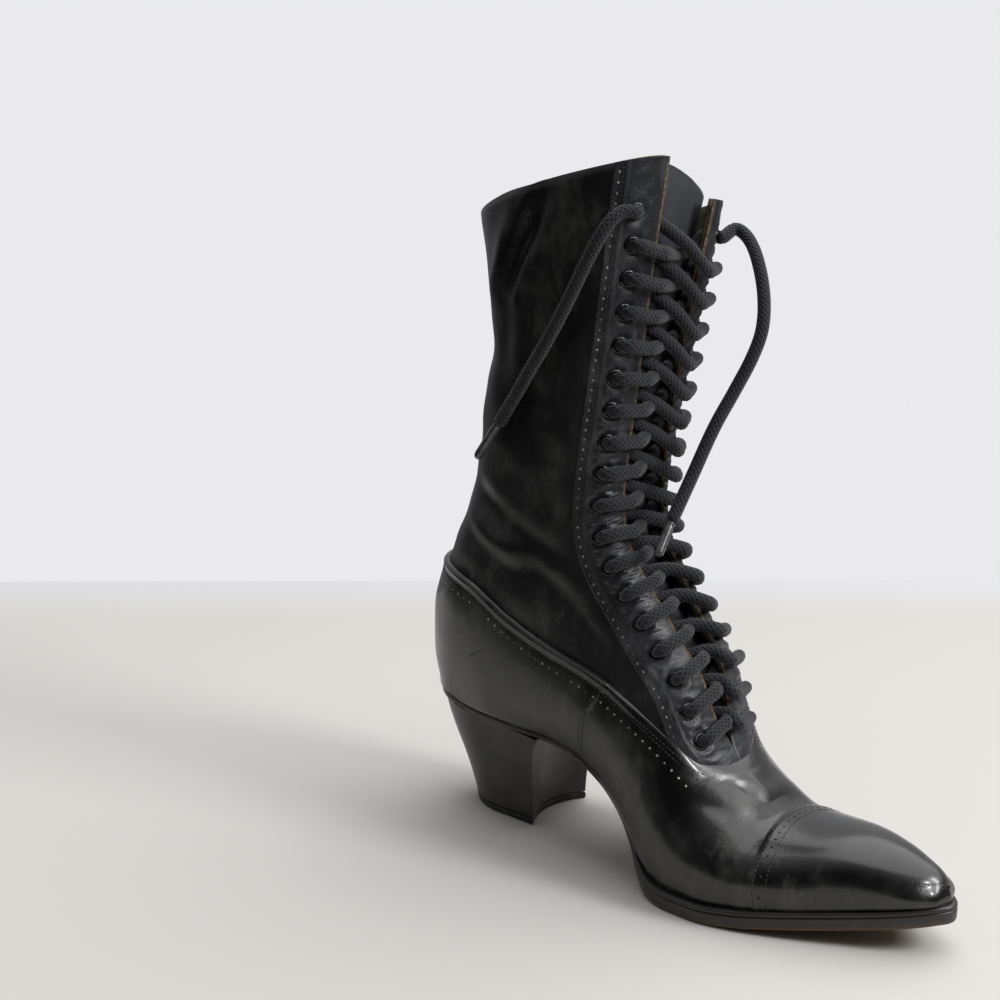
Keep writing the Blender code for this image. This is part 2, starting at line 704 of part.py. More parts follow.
def tongue_point(s, across, depth):
    """Tongue face at section s; across runs -1 to 1, depth goes inward."""
    over = max(s - COLLAR, 0.0)
    s = min(s, COLLAR)
    half = max(float(section("gap", s)) + TONGUE_LAP, TONGUE_FOOT_HALF)
    if over > 0:
        half *= math.sqrt(max(0.05, 1 - (over / 1.05) ** 2))
    centre = float(section("top_y", s))
    y = centre + across * half
    side = -1 if across < 0 else 1
    top = Vector((float(section("top_x", s)), 0.0, float(section("top_z", s))))
    foot = Vector((float(section("foot_x", s)), 0.0, float(section("foot_z", s))))
    chord = foot - top
    back = front_depth(s, side, y) * chord.length
    slope = back - front_depth(s, side, y - side) * chord.length
    clear = float(monotone((7.4, 8.2, 10.0), (TONGUE_SEWN_CLEARANCE, TONGUE_SEWN_CLEARANCE, TONGUE_CLEARANCE), s))
    back += (WALL + clear) * math.sqrt(1 + slope * slope) + depth
    point = top + chord.normalized() * back
    rise = -side * float(section("rise", s)) * min(abs(across), 1.0) * 0.5
    roll = -math.tan(math.radians(float(section("roll", s)))) * (y - centre)
    return Vector((point.x, y, point.z + rise + roll + over * TONGUE_RISE))


def build_tongue():
    """Tongue sheet behind the throat, from inside the vamp to above the collar."""
    item = new_object("tongue", "tongue_leather")
    bm = bmesh.new()
    steps = [7.4, 8.2, 9, 10, 11, 12, 13, 14, 15, 16, 17, 18, 19, 20, 21, 22, 23, 24, 24.35, 24.7, 25]
    across = [-1, -0.7, -0.35, 0, 0.35, 0.7, 1]
    outer = [[bm.verts.new(tongue_point(s, a, 0.0)) for a in across] for s in steps]
    inner = [[bm.verts.new(tongue_point(s, a, TONGUE_THICKNESS)) for a in across] for s in steps]
    last = len(across) - 1
    for r in range(len(steps) - 1):
        for c in range(last):
            bm.faces.new([outer[r][c], outer[r][c + 1], outer[r + 1][c + 1], outer[r + 1][c]])
            bm.faces.new([inner[r][c], inner[r + 1][c], inner[r + 1][c + 1], inner[r][c + 1]])
        bm.faces.new([outer[r][0], outer[r + 1][0], inner[r + 1][0], inner[r][0]])
        bm.faces.new([outer[r][last], inner[r][last], inner[r + 1][last], outer[r + 1][last]])
    for c in range(last):
        bm.faces.new([outer[0][c], inner[0][c], inner[0][c + 1], outer[0][c + 1]])
        bm.faces.new([outer[-1][c], outer[-1][c + 1], inner[-1][c + 1], inner[-1][c]])
    fill(item, bm)


def eyelet_places(side):
    """Section numbers of the eyelets, evenly spaced along a facing from the bottom up."""
    first = 8.75
    last = 23.5 if side < 0 else 23.6
    fine = np.linspace(first, last, 300)
    line = [last_point(s, side, facing_turn(s, side, EYELET_INSET)) for s in fine]
    walked = [0.0]
    for a, b in zip(line, line[1:]):
        walked.append(walked[-1] + (b - a).length)
    wanted = np.linspace(0.0, walked[-1], EYELETS)
    return [float(v) for v in np.interp(wanted, walked, fine)]


def eyelet_frame(s, side):
    """Centre on the eyestay, outward normal and the way up along the facing."""
    turn = facing_turn(s, side, EYELET_INSET)
    centre = last_point(s, side, turn)
    normal = last_normal(s, side, turn)
    up = last_point(min(s + 0.05, COLLAR), side, turn) - last_point(s - 0.05, side, turn)
    up = (up - normal * up.dot(normal)).normalized()
    return centre + normal * (OVERLAY_GAP + EYESTAY_STEP + SEAT_GAP), normal, up


def build_eyelets():
    """Eyelet rings seated on the two eyestays."""
    names = {-1: "medial", 1: "lateral"}
    segments = 8
    for side in (-1, 1):
        for number, s in enumerate(eyelet_places(side), start=1):
            item = new_object(f"eyelet_{names[side]}_{number:02d}", "enamelled_eyelet")
            centre, normal, up = eyelet_frame(s, side)
            across = up.cross(normal)
            bm = bmesh.new()
            profile = ((EYELET_OUTER, 0.0), (0.6 * EYELET_OUTER + 0.4 * EYELET_HOLE, EYELET_HEIGHT), (EYELET_HOLE, 0.0))
            rings = []
            for i in range(segments):
                angle = 2 * math.pi * i / segments
                spoke = across * math.cos(angle) + up * math.sin(angle)
                rings.append([bm.verts.new(centre + spoke * r + normal * h) for r, h in profile])
            for i in range(segments):
                first = rings[i]
                second = rings[(i + 1) % segments]
                for k in range(3):
                    m = (k + 1) % 3
                    bm.faces.new([first[k], second[k], second[m], first[m]])
            fill(item, bm)


def tube(bm, path, radius, sides):
    """A capped round tube along a list of points."""
    count = len(path)
    normal = None
    rings = []
    for i, point in enumerate(path):
        ahead = path[min(i + 1, count - 1)]
        behind = path[max(i - 1, 0)]
        tangent = (ahead - behind).normalized()
        if normal is None:
            normal = tangent.orthogonal().normalized()
        normal = (normal - tangent * normal.dot(tangent)).normalized()
        other = tangent.cross(normal)
        ring = []
        for k in range(sides):
            angle = 2 * math.pi * k / sides
            ring.append(bm.verts.new(point + (normal * math.cos(angle) + other * math.sin(angle)) * radius))
        rings.append(ring)
    for first, second in zip(rings, rings[1:]):
        for k in range(sides):
            m = (k + 1) % sides
            bm.faces.new([first[k], first[m], second[m], second[k]])
    bm.faces.new(list(reversed(rings[0])))
    bm.faces.new(rings[-1])


def smooth_route(points, spacing):
    """Points at an even spacing on a smooth curve through route points."""
    points = [Vector(point) for point in points]
    chord = [0.0]
    for a, b in zip(points, points[1:]):
        chord.append(chord[-1] + math.sqrt((b - a).length))
    slopes = []
    for i in range(len(points)):
        low = max(i - 1, 0)
        high = min(i + 1, len(points) - 1)
        slopes.append((points[high] - points[low]) / (chord[high] - chord[low]))
    fine = []
    for i in range(len(points) - 1):
        h = chord[i + 1] - chord[i]
        for k in range(12):
            f = k / 12
            fine.append(points[i] * (1 + 2 * f) * (1 - f) ** 2 + slopes[i] * h * f * (1 - f) ** 2
                        + points[i + 1] * f * f * (3 - 2 * f) + slopes[i + 1] * h * f * f * (f - 1))
    fine.append(points[-1])
    walked = [0.0]
    for a, b in zip(fine, fine[1:]):
        walked.append(walked[-1] + (b - a).length)
    count = max(2, round(walked[-1] / spacing))
    wanted = [walked[-1] * i / count for i in range(count + 1)]
    line = np.array([tuple(point) for point in fine])
    return [Vector([float(np.interp(w, walked, line[:, axis])) for axis in range(3)]) for w in wanted]


def lace_point(s, place):
    """Point over the lacing at section s; place runs round the front, zero in mid gap."""
    gap = float(section("gap", s))
    lift = OVERLAY_GAP + EYESTAY_STEP + SEAT_GAP + EYELET_HEIGHT + LACE_CLEARANCE + LACE_RADIUS
    if abs(place) >= gap:
        side = -1 if place < 0 else 1
        turn = facing_turn(s, side, abs(place) - gap)
        return last_point(s, side, turn) + last_normal(s, side, turn) * lift
    part = (place + gap) / (2 * gap)
    point = last_point(s, -1, 0.0).lerp(last_point(s, 1, 0.0), part)
    normal = last_normal(s, -1, 0.02).lerp(last_normal(s, 1, 0.02), part).normalized()
    return point + normal * (lift + 4 * 1.2 * part * (1 - part))


def strand_route(start_side):
    """Zigzag of one half of the lace above the eyelets, from the bottom row up."""
    places = {side: eyelet_places(side) for side in (-1, 1)}
    turn_back = 2.4
    route = []
    side = start_side
    for row in range(EYELETS):
        s = places[side][row]
        reach = side * (EYELET_INSET + float(section("gap", s)))
        up = eyelet_frame(s, side)[2]
        top = lace_point(s, reach)
        if row > 0:
            for part in (0.17, 0.34, 0.5, 0.66, 0.83):
                between = before[0] + (s - before[0]) * part
                route.append(lace_point(between, before[1] + (reach - before[1]) * part))
        route.append(top - up * turn_back)
        if row < EYELETS - 1:
            route.append(top + up * turn_back)
        before = (s, reach)
        side = -side
    return route


def build_lace():
    """The laced crossings, both strands joined where they cross."""
    strands = []
    for name, side in (("lace", -1), ("strand", 1)):
        item = new_object(name, "braided_cord")
        bm = bmesh.new()
        tube(bm, strand_path(side), LACE_RADIUS, 5)
        fill(item, bm)
        strands.append(item)
    combine(strands[0], strands[1], "UNION")


def strand_path(start_side):
    """Even points along one half of the lace."""
    return smooth_route(strand_route(start_side), 8.5)


def end_route(start_side, route):
    """Route of a free end, carried on from where its half of the lace stops."""
    path = strand_path(start_side)
    way = (path[-1] - path[-2]).normalized()
    return [path[-1] + way * SEAT_GAP, path[-1] + way * 9.0] + list(route)


def frame_point(point):
    """A point of the last moved into the part's frame, in metres."""
    return ((point[0] - FRAME_CENTRE[0]) * MM, (point[1] - FRAME_CENTRE[1]) * MM, point[2] * MM)


def cord(name, route, radius, spacing, material):
    """A round cord as a curve object with filled ends."""
    curve = bpy.data.curves.new(name, "CURVE")
    curve.dimensions = "3D"
    curve.bevel_depth = radius * MM
    curve.bevel_resolution = 2
    curve.use_fill_caps = True
    points = smooth_route(route, spacing)
    spline = curve.splines.new("POLY")
    spline.points.add(len(points) - 1)
    for target, point in zip(spline.points, points):
        target.co = (*frame_point(point), 1.0)
    item = bpy.data.objects.new(name, curve)
    bpy.context.scene.collection.objects.link(item)
    item.parent = bpy.data.objects["boot"]
    curve.materials.append(make_material(name, material))


def build_lace_ends():
    """Free ends of the lace with their aglets."""
    cord("lace_end_medial", end_route(1, MEDIAL_END), LACE_RADIUS, 8.0, "braided_cord")
    cord("aglet_medial", MEDIAL_AGLET, AGLET_RADIUS, AGLET_LENGTH, "clear_aglet")
    cord("lace_end_lateral", end_route(-1, LATERAL_END), LACE_RADIUS, 7.0, "braided_cord")
    cord("aglet_lateral", LATERAL_AGLET, AGLET_RADIUS, AGLET_LENGTH, "clear_aglet")


def main():
    """Build every piece of the boot."""
    for item in list(bpy.data.objects):
        bpy.data.objects.remove(item)
    boot = bpy.data.objects.new("boot", None)
    bpy.context.scene.collection.objects.link(boot)
    build_sole()
    build_heel()
    build_insole()
    build_upper()
    build_tongue()
    build_eyelets()
    build_lace()
    build_lace_ends()


main()
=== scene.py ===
"""Left heeled lace-up boot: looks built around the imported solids.

Sizes are millimetres in the last's own frame: x from the back of the counter
to the toe, y to the wearer's left (lateral), z up from the floor. Meshes are
written in metres about FRAME_CENTRE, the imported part's own origin.
"""
import math

import bmesh
import bpy
import numpy as np
from mathutils import Matrix, Vector


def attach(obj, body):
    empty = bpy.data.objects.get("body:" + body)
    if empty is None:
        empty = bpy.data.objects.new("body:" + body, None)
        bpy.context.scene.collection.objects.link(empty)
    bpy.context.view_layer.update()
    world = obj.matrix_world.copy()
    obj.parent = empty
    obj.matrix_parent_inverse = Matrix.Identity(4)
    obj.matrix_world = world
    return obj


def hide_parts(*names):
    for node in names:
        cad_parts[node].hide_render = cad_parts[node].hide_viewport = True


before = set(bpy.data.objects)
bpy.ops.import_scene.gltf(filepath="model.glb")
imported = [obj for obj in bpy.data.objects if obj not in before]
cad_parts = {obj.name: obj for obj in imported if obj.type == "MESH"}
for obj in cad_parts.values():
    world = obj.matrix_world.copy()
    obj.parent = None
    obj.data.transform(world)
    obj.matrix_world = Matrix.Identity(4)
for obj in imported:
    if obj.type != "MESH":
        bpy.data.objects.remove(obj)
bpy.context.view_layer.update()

bl_info = {
    "name": "Heeled lace-up boot",
    "version": (1, 0, 0),
    "blender": (4, 5, 0),
    "location": "View3D > Sidebar > Boot",
    "description": "Builds the visible pieces of a left lace-up boot on its packed solids",
    "category": "Object",
}

MM = 0.001
FRAME_CENTRE = np.array((122.0, 8.0, 0.0))
SEAT_GAP = 0.3
WALL = 1.7
GOLOSH_LIFT = 1.15
EYESTAY_LIFT = 0.85
EYESTAY_WIDTH = 23.5
EYELETS = 18
EYELET_INSET = 12.5
LACE_RADIUS = 2.4
LACED_RADIUS = 2.75
FREE_RADIUS = 2.6
AGLET_RADIUS = 1.9
TONGUE_SHEET = 1.9
TONGUE_LAP = 4.5
TONGUE_FOOT_HALF = 8.5
TONGUE_RISE = 5.0
INSOLE_CLEARANCE = 2.7
SEAT_THICKNESS = 3.5
SOLE_EDGE = 7.2
HEEL_LIFT = 3.0
TWILL_REPEAT = 10.05

# Section numbers where the eyestays, their bare edges and the tongue begin, and how many sections past
# the collar the tongue would come to a point.
EYESTAY_FOOT = 7.55
CUT_EDGE_FOOT = 8.8
TONGUE_FOOT = 7.4
TONGUE_TIP = 1.05

# Plaits of the lace round its girth and along one girth of length, and the roughness of polished wax.
PLAITS_ROUND = 7.0
PLAITS_ALONG = 8.0
COAT_ROUGHNESS = 0.14

# Rows sewn or punched along an edge: kind and distance, from the throat for the eyestay and from the
# piece's own edge for the others.
GOLOSH_ROWS = (("stitch", 3.3), ("stitch", 5.0), ("hole", 8.6))
EYESTAY_ROWS = (("stitch", 19.6), ("hole", 21.0), ("stitch", 22.4))
SIDE_SEAM_ROWS = (("stitch", 1.2), ("stitch", 3.0))
CAP_ROWS = (("stitch", 1.1), ("pit", 3.2), ("stitch", 5.3))

# Section numbers of the lowest and the highest eyelet on each side, and an eyelet's radius and height.
EYELET_SPAN = {-1: (8.75, 23.5), 1: (8.75, 23.6)}
EYELET_PROFILE = ((3.6, 0.0), (3.5, 0.45), (3.1, 0.85), (2.6, 0.95), (2.15, 0.7), (1.95, 0.2), (1.95, -2.2))

# The sole from its top face round the edge to its under face: face, inset from the outline and rise.
# An inset of MIDDLE reaches the middle line.
MIDDLE = 99.0
SOLE_PROFILE = (
    ("top", MIDDLE, 0.0),
    ("top", 6.0, 0.0),
    ("top", 2.6, 0.0),
    ("top", 1.0, 0.0),
    ("top", 0.35, -0.25),
    ("top", 0.05, -0.8),
    ("top", 0.0, -1.4),
    ("top", 0.1, -1.7),
    ("top", 0.65, -1.95),
    ("top", 0.1, -2.2),
    ("top", 0.0, -2.5),
    ("bottom", 0.0, 1.3),
    ("bottom", 0.2, 0.6),
    ("bottom", 0.7, 0.12),
    ("bottom", 1.3, 0.0),
    ("bottom", 5.0, 0.0),
    ("bottom", MIDDLE, 0.0),
)

# Opposite corners of the box round the heel corner, where the upper is smoothed.
HEEL_CORNER_BOX = ((-20.0, -40.0, 51.0), (36.0, 40.0, 88.0))

# Near edge and depth of the floor along the view, in metres.
FLOOR_NEAR = -0.42
FLOOR_DEPTH = 0.79

# Lamps: name, place, target, width and height in metres, and power in watts.
LAMPS = (
    ("window", (0.95, 0.30, 0.74), (0.10, 0.0, 0.03), 0.30, 0.42, 7.0),
    ("side_fill", (-0.75, -1.2, 0.7), (0.0, 0.0, 0.12), 0.35, 0.8, 0.8),
    ("toe_spark", (0.69, -0.124, 0.555), (0.115, -0.012, 0.025), 0.06, 0.06, 1.6),
)

# Feather line, where the upper meets the sole: height and the two edges.
FEATHER_COLUMNS = ("x", "z", "medial_y", "lateral_y")
FEATHER = (
    (3.0, 50.3, 0.0, 0.0),
    (8.0, 50.2, -12.6, 12.6),
    (20.0, 49.4, -19.6, 19.6),
    (40.0, 47.9, -22.6, 22.6),
    (60.0, 46.2, -21.6, 21.8),
    (76.0, 44.4, -19.6, 20.6),
    (90.0, 40.0, -18.4, 20.4),
    (100.0, 34.6, -18.6, 21.2),
    (110.0, 27.2, -20.2, 23.0),
    (120.0, 18.6, -24.2, 26.4),
    (129.0, 11.6, -30.2, 29.4),
    (138.0, 8.2, -35.4, 31.4),
    (148.0, 7.5, -38.6, 32.4),
    (160.0, 7.5, -39.2, 32.3),
    (175.0, 8.5, -36.2, 30.4),
    (190.0, 10.4, -30.2, 26.6),
    (205.0, 12.6, -23.2, 21.4),
    (220.0, 15.0, -15.6, 15.4),
    (232.0, 17.2, -9.4, 11.0),
    (239.0, 18.5, -4.2, 7.0),
    (241.8, 19.0, 1.5, 1.5),
)

# Sole outline, top edge.
SOLE_COLUMNS = ("x", "medial_y", "lateral_y")
SOLE = (
    (2.4, 0.0, 0.0),
    (8.0, -13.6, 13.6),
    (20.0, -20.8, 20.8),
    (40.0, -24.0, 24.0),
    (60.0, -23.0, 23.2),
    (76.0, -20.8, 21.8),
    (90.0, -19.6, 21.6),
    (100.0, -19.8, 22.4),
    (110.0, -21.6, 24.4),
    (120.0, -26.4, 28.2),
    (129.0, -33.6, 32.0),
    (138.0, -39.6, 34.4),
    (148.0, -42.4, 35.5),
    (160.0, -42.6, 35.4),
    (175.0, -39.4, 33.5),
    (190.0, -33.4, 29.8),
    (205.0, -26.4, 24.7),
    (220.0, -18.8, 18.7),
    (232.0, -12.6, 14.0),
    (240.0, -6.8, 9.4),
    (245.0, 1.6, 1.6),
)

# Sole thickness along the foot.
THICKNESS_COLUMNS = ("x", "thick")
THICKNESS = (
    (0.0, SEAT_THICKNESS),
    (70.0, SEAT_THICKNESS),
    (95.0, 4.2),
    (120.0, 5.6),
    (138.0, SOLE_EDGE),
    (250.0, SOLE_EDGE),
)

# Heel block: back line, breast, half width and breast hollow by height.
HEEL_COLUMNS = ("z", "back_x", "breast_x", "half_y", "hollow")
HEEL = (
    (0.0, 22.2, 63.6, 18.0, 6.0),
    (4.0, 21.2, 63.6, 18.1, 6.0),
    (18.0, 16.2, 64.2, 19.4, 5.6),
    (33.0, 9.4, 66.4, 21.8, 4.6),
    (50.0, 2.4, 71.0, 24.0, 3.0),
)

# Sections of the last. Each runs from its top point (ridge of the vamp, then
# the edge of the throat) to its foot (the feather line, then the back seam).
SECTION_COLUMNS = ("top_x", "top_z", "foot_x", "foot_z", "top_y", "foot_y", "medial_y",
                   "lateral_y", "peak", "turn", "gap", "roll", "rise", "front")
SECTIONS = (
    (242.2, 25.0, 241.8, 19.0, 1.5, 1.5, 1.5, 1.5, 0.70, 0.80, 0.0, 0.0, 0.0, 1.00),
    (240.6, 27.4, 240.0, 18.7, 1.4, 1.4, -5.0, 7.8, 0.70, 0.80, 0.0, 0.0, 0.0, 1.00),
    (236.4, 30.2, 236.6, 18.1, 1.2, 1.2, -8.8, 10.4, 0.70, 0.80, 0.0, 0.0, 0.0, 1.00),
    (227.0, 31.8, 227.6, 16.4, 0.8, 0.8, -14.0, 14.0, 0.70, 0.80, 0.0, 0.0, 0.0, 1.00),
    (211.0, 33.2, 210.0, 13.4, 0.0, 0.0, -22.2, 19.8, 0.70, 0.80, 0.0, 0.0, 0.0, 1.00),
    (193.0, 33.6, 190.0, 10.4, -1.2, -1.0, -31.4, 27.0, 0.70, 0.80, 0.0, 0.0, 0.0, 1.00),
    (178.5, 34.2, 172.0, 8.2, -2.4, -2.0, -38.0, 31.4, 0.70, 0.80, 0.0, 0.0, 0.0, 1.00),
    (166.0, 41.8, 154.0, 7.4, -3.2, -3.0, -40.8, 33.2, 0.70, 0.80, 0.0, 0.0, 0.0, 1.00),
    (153.0, 53.8, 134.0, 9.4, -3.6, -2.0, -38.4, 34.0, 0.66, 0.75, 0.0, 0.0, 0.0, 0.95),
    (146.4, 66.0, 112.0, 25.6, -3.0, 0.0, -33.8, 33.4, 0.60, 0.66, 3.6, 0.0, 0.0, 0.85),
    (138.6, 83.2, 86.0, 41.6, -0.5, 0.0, -30.4, 31.2, 0.56, 0.58, 6.7, 0.0, 0.0, 0.74),
    (129.8, 94.0, 56.0, 46.6, 0.8, 0.0, -28.6, 29.2, 0.54, 0.54, 8.3, 0.0, 0.0, 0.68),
    (121.2, 105.4, 26.0, 49.0, 1.4, 0.0, -27.8, 28.2, 0.54, 0.50, 9.3, 0.0, 0.0, 0.64),
    (114.6, 113.8, 8.6, 50.2, 2.0, 0.0, -27.6, 27.8, 0.54, 0.48, 10.0, 0.0, 0.0, 0.62),
    (110.0, 120.4, 3.0, 50.3, 2.2, 0.0, -27.6, 27.8, 0.54, 0.47, 10.7, 0.0, 0.0, 0.62),
    (106.0, 127.2, 0.2, 66.0, 2.6, 0.0, -27.8, 28.0, 0.54, 0.46, 11.3, 0.0, 0.0, 0.62),
    (103.4, 133.8, 0.6, 82.0, 2.9, 0.2, -28.0, 28.6, 0.53, 0.46, 11.7, 0.0, 0.0, 0.62),
    (101.8, 141.0, 5.4, 100.0, 3.4, 0.5, -28.0, 29.6, 0.52, 0.47, 12.1, 0.0, 0.3, 0.63),
    (101.0, 148.6, 12.6, 118.0, 4.2, 1.2, -27.8, 31.0, 0.51, 0.49, 12.2, 0.0, 0.6, 0.66),
    (101.0, 158.0, 20.4, 138.0, 5.4, 2.6, -27.8, 33.8, 0.50, 0.50, 12.1, 0.0, 1.0, 0.70),
    (101.8, 170.0, 24.6, 158.0, 6.4, 4.6, -28.4, 37.0, 0.50, 0.50, 11.9, 0.5, 1.5, 0.74),
    (103.0, 184.0, 27.4, 178.0, 7.6, 6.8, -29.0, 41.0, 0.50, 0.50, 11.8, 1.5, 2.2, 0.78),
    (104.8, 206.0, 31.0, 203.0, 9.7, 9.4, -29.4, 48.0, 0.50, 0.50, 12.0, 4.0, 3.5, 0.82),
    (107.6, 234.0, 27.0, 226.0, 12.8, 12.4, -28.8, 54.0, 0.50, 0.50, 13.2, 8.0, 5.0, 0.85),
    (112.0, 270.0, 19.0, 246.0, 16.5, 15.6, -26.6, 58.6, 0.50, 0.50, 14.8, 12.0, 5.5, 0.88),
)
HEEL_CORNER = 14
THROAT_BASE = 8
COLLAR = len(SECTIONS) - 1
COUNTER_TOP = 80.0

# Top edge of the golosh (vamp and counter) seen from the side.
GOLOSH_COLUMNS = ("x", "z")
GOLOSH = (
    (-12.0, 109.0),
    (8.0, 109.0),
    (20.0, 108.4),
    (38.0, 105.4),
    (46.0, 101.8),
    (56.0, 96.0),
    (68.0, 90.8),
    (81.0, 86.6),
    (98.0, 82.2),
    (108.0, 78.8),
    (120.0, 73.4),
    (130.0, 68.0),
    (141.0, 60.6),
    (150.0, 53.6),
    (156.0, 51.4),
)

# Seam between the vamp and the counter, from the golosh edge down.
SEAM_COLUMNS = ("x", "z")
SIDE_SEAM = (
    (110.0, 77.8),
    (105.7, 71.0),
    (101.8, 65.0),
    (100.4, 56.5),
    (99.6, 49.0),
    (100.4, 43.0),
)

# Route of each free lace end from its top eyelet to the aglet: x, y and z.
MEDIAL_END = (
    (106.2, -18.6, 259.2),
    (103.6, -23.6, 255.4),
    (99.8, -26.6, 247.6),
    (95.6, -28.0, 239.2),
    (91.0, -29.0, 229.8),
    (85.8, -30.4, 219.4),
    (79.8, -31.8, 208.6),
    (73.1, -32.6, 198.2),
    (65.6, -32.7, 186.8),
    (57.4, -32.2, 175.8),
)
MEDIAL_AGLET = ((57.1, -32.2, 175.4), (44.8, -31.2, 159.6))
LATERAL_END = (
    (110.6, 50.8, 248.6),
    (117.2, 50.6, 244.6),
    (125.2, 45.6, 235.6),
    (131.4, 40.2, 223.5),
    (134.2, 35.1, 212.0),
    (132.8, 30.8, 201.4),
    (129.1, 25.3, 189.1),
    (125.3, 17.1, 174.8),
    (122.2, 7.3, 156.5),
    (120.8, -3.4, 140.9),
)
LATERAL_AGLET = ((120.7, -3.9, 140.3), (121.7, -13.5, 129.1))

# Edge of the toe cap seen from the side.
CAP_COLUMNS = ("z", "x")
CAP_LINE = ((10.0, 182.0), (16.0, 181.5), (23.0, 181.2), (29.0, 180.4), (35.0, 177.2), (40.0, 175.0))

# Soft creases worn into the leather: x, y and z of both ends, half width and depth (minus is a ridge).
CREASES = (
    (73.8, -26.7, 264.0, 57.4, -27.6, 227.9, 4.2, 4.4),
    (81.0, -26.2, 263.0, 63.0, -28.2, 226.0, 4.6, -2.2),
    (62.0, -27.0, 258.0, 48.0, -24.6, 226.0, 6.5, -2.4),
    (57.4, -27.6, 227.9, 54.0, -28.0, 186.0, 6.0, 1.4),
    (84.4, -27.0, 230.0, 74.0, -28.6, 168.0, 9.0, 1.1),
    (66.3, -28.9, 190.0, 54.7, -27.4, 151.7, 8.0, 1.2),
    (33.0, -22.0, 146.0, 60.0, -28.2, 128.0, 5.5, 1.6),
    (30.0, -22.0, 136.0, 58.0, -28.0, 121.0, 4.5, -1.2),
    (36.7, -25.4, 122.5, 65.3, -27.5, 112.0, 5.0, 1.5),
    (44.0, -27.6, 142.0, 80.0, -26.8, 124.0, 5.0, 1.1),
    (65.3, -27.5, 120.3, 92.0, -24.8, 104.0, 5.0, 1.4),
    (72.0, -27.2, 124.0, 98.0, -24.2, 110.0, 4.5, -1.0),
    (83.8, -25.4, 107.2, 112.0, -25.4, 88.0, 5.5, 1.3),
    (103.8, -24.6, 94.4, 125.1, -26.7, 76.5, 6.0, 0.8),
    (30.0, 30.0, 152.0, 66.0, 34.0, 128.0, 7.0, 1.6),
    (22.0, 22.0, 138.0, 60.0, 30.0, 112.0, 6.5, 1.4),
    (64.0, 29.0, 118.0, 96.0, 24.0, 106.0, 6.0, 1.1),
    (60.0, 54.0, 240.0, 52.0, 42.0, 176.0, 10.0, 2.0),
    (88.0, 46.0, 236.0, 82.0, 36.0, 168.0, 9.0, 1.2),
    (171.5, -17.0, 35.5, 172.5, 11.0, 36.0, 4.5, 1.3),
    (154.1, -15.9, 50.0, 168.4, -9.4, 39.5, 3.2, 0.9),
    (156.0, -7.0, 51.0, 167.7, -3.0, 40.5, 3.0, -0.6),
    (158.0, 18.0, 40.0, 164.0, 4.0, 43.0, 4.0, 0.7),
    (154.0, -28.4, 41.9, 166.0, -22.0, 36.0, 3.5, 0.7),
    (112.0, -27.0, 46.0, 128.0, -33.0, 30.0, 7.0, 0.7),
    (112.0, 28.0, 46.0, 128.0, 31.0, 30.0, 7.0, 0.7),
)

# Place of the lens, worked out from the boot's own outline.
CAMERA_AZIMUTH = 40.9
CAMERA_RISE = 14.3
CAMERA_ROLL = -0.1
CAMERA_EYE = np.array((467.07, -504.76, 303.63))
CAMERA_LENS = 58.33


def monotone(knots, values, at):
    """Smooth curve through knots that never overshoots a table value."""
    knots = np.asarray(knots, float)
    values = np.asarray(values, float)
    at = np.clip(np.asarray(at, float), knots[0], knots[-1])
    step = np.diff(knots)
    slope = np.diff(values) / step
    tangent = np.zeros_like(values)
    tangent[0] = slope[0]
    tangent[-1] = slope[-1]
    for i in range(1, len(values) - 1):
        if slope[i - 1] * slope[i] > 0:
            a = 2 * step[i] + step[i - 1]
            b = step[i] + 2 * step[i - 1]
            tangent[i] = (a + b) / (a / slope[i - 1] + b / slope[i])
    i = np.clip(np.searchsorted(knots, at, side="right") - 1, 0, len(step) - 1)
    h = step[i]
    f = (at - knots[i]) / h
    return (values[i] * (1 + 2 * f) * (1 - f) ** 2 + tangent[i] * h * f * (1 - f) ** 2
            + values[i + 1] * f ** 2 * (3 - 2 * f) + tangent[i + 1] * h * f ** 2 * (f - 1))


def table_column(table, names, name):
    """One named column of a table."""
    return [row[names.index(name)] for row in table]


def along(table, names, name, at, key="x"):
    """A named column of a table read along its key column."""
    return monotone(table_column(table, names, key), table_column(table, names, name), at)


def section(name, s):
    """A named size of the last at section number s."""
    return monotone(range(len(SECTIONS)), table_column(SECTIONS, SECTION_COLUMNS, name), s)


def outline(table, names, name, x):
    """An edge of an outline at x, true to its round ends."""
    xs = np.array(table_column(table, names, "x"))

    def turn(v):
        part = np.clip((np.asarray(v, float) - xs[0]) / (xs[-1] - xs[0]), 0.0, 1.0)
        return np.arccos(1 - 2 * part)

    return monotone(turn(xs), table_column(table, names, name), turn(x))


def feather_z(x):
    """Height of the feather line."""
    return along(FEATHER, FEATHER_COLUMNS, "z", x)


def sole_top(x):
    """Height of the sole's top face."""
    return feather_z(x) - SEAT_GAP


def sole_bottom(x):
    """Height of the sole's under face, flat on the floor at the ball."""
    return np.maximum(sole_top(x) - along(THICKNESS, THICKNESS_COLUMNS, "thick", x), 0.0)


def unit(vectors):
    """Vectors made one long."""
    return vectors / np.maximum(np.linalg.norm(vectors, axis=-1, keepdims=True), 1e-9)


def smooth(low, high, value):
    """Soft step from 0 to 1."""
    part = np.clip((np.asarray(value, float) - low) / (high - low), 0.0, 1.0)
    return part * part * (3 - 2 * part)


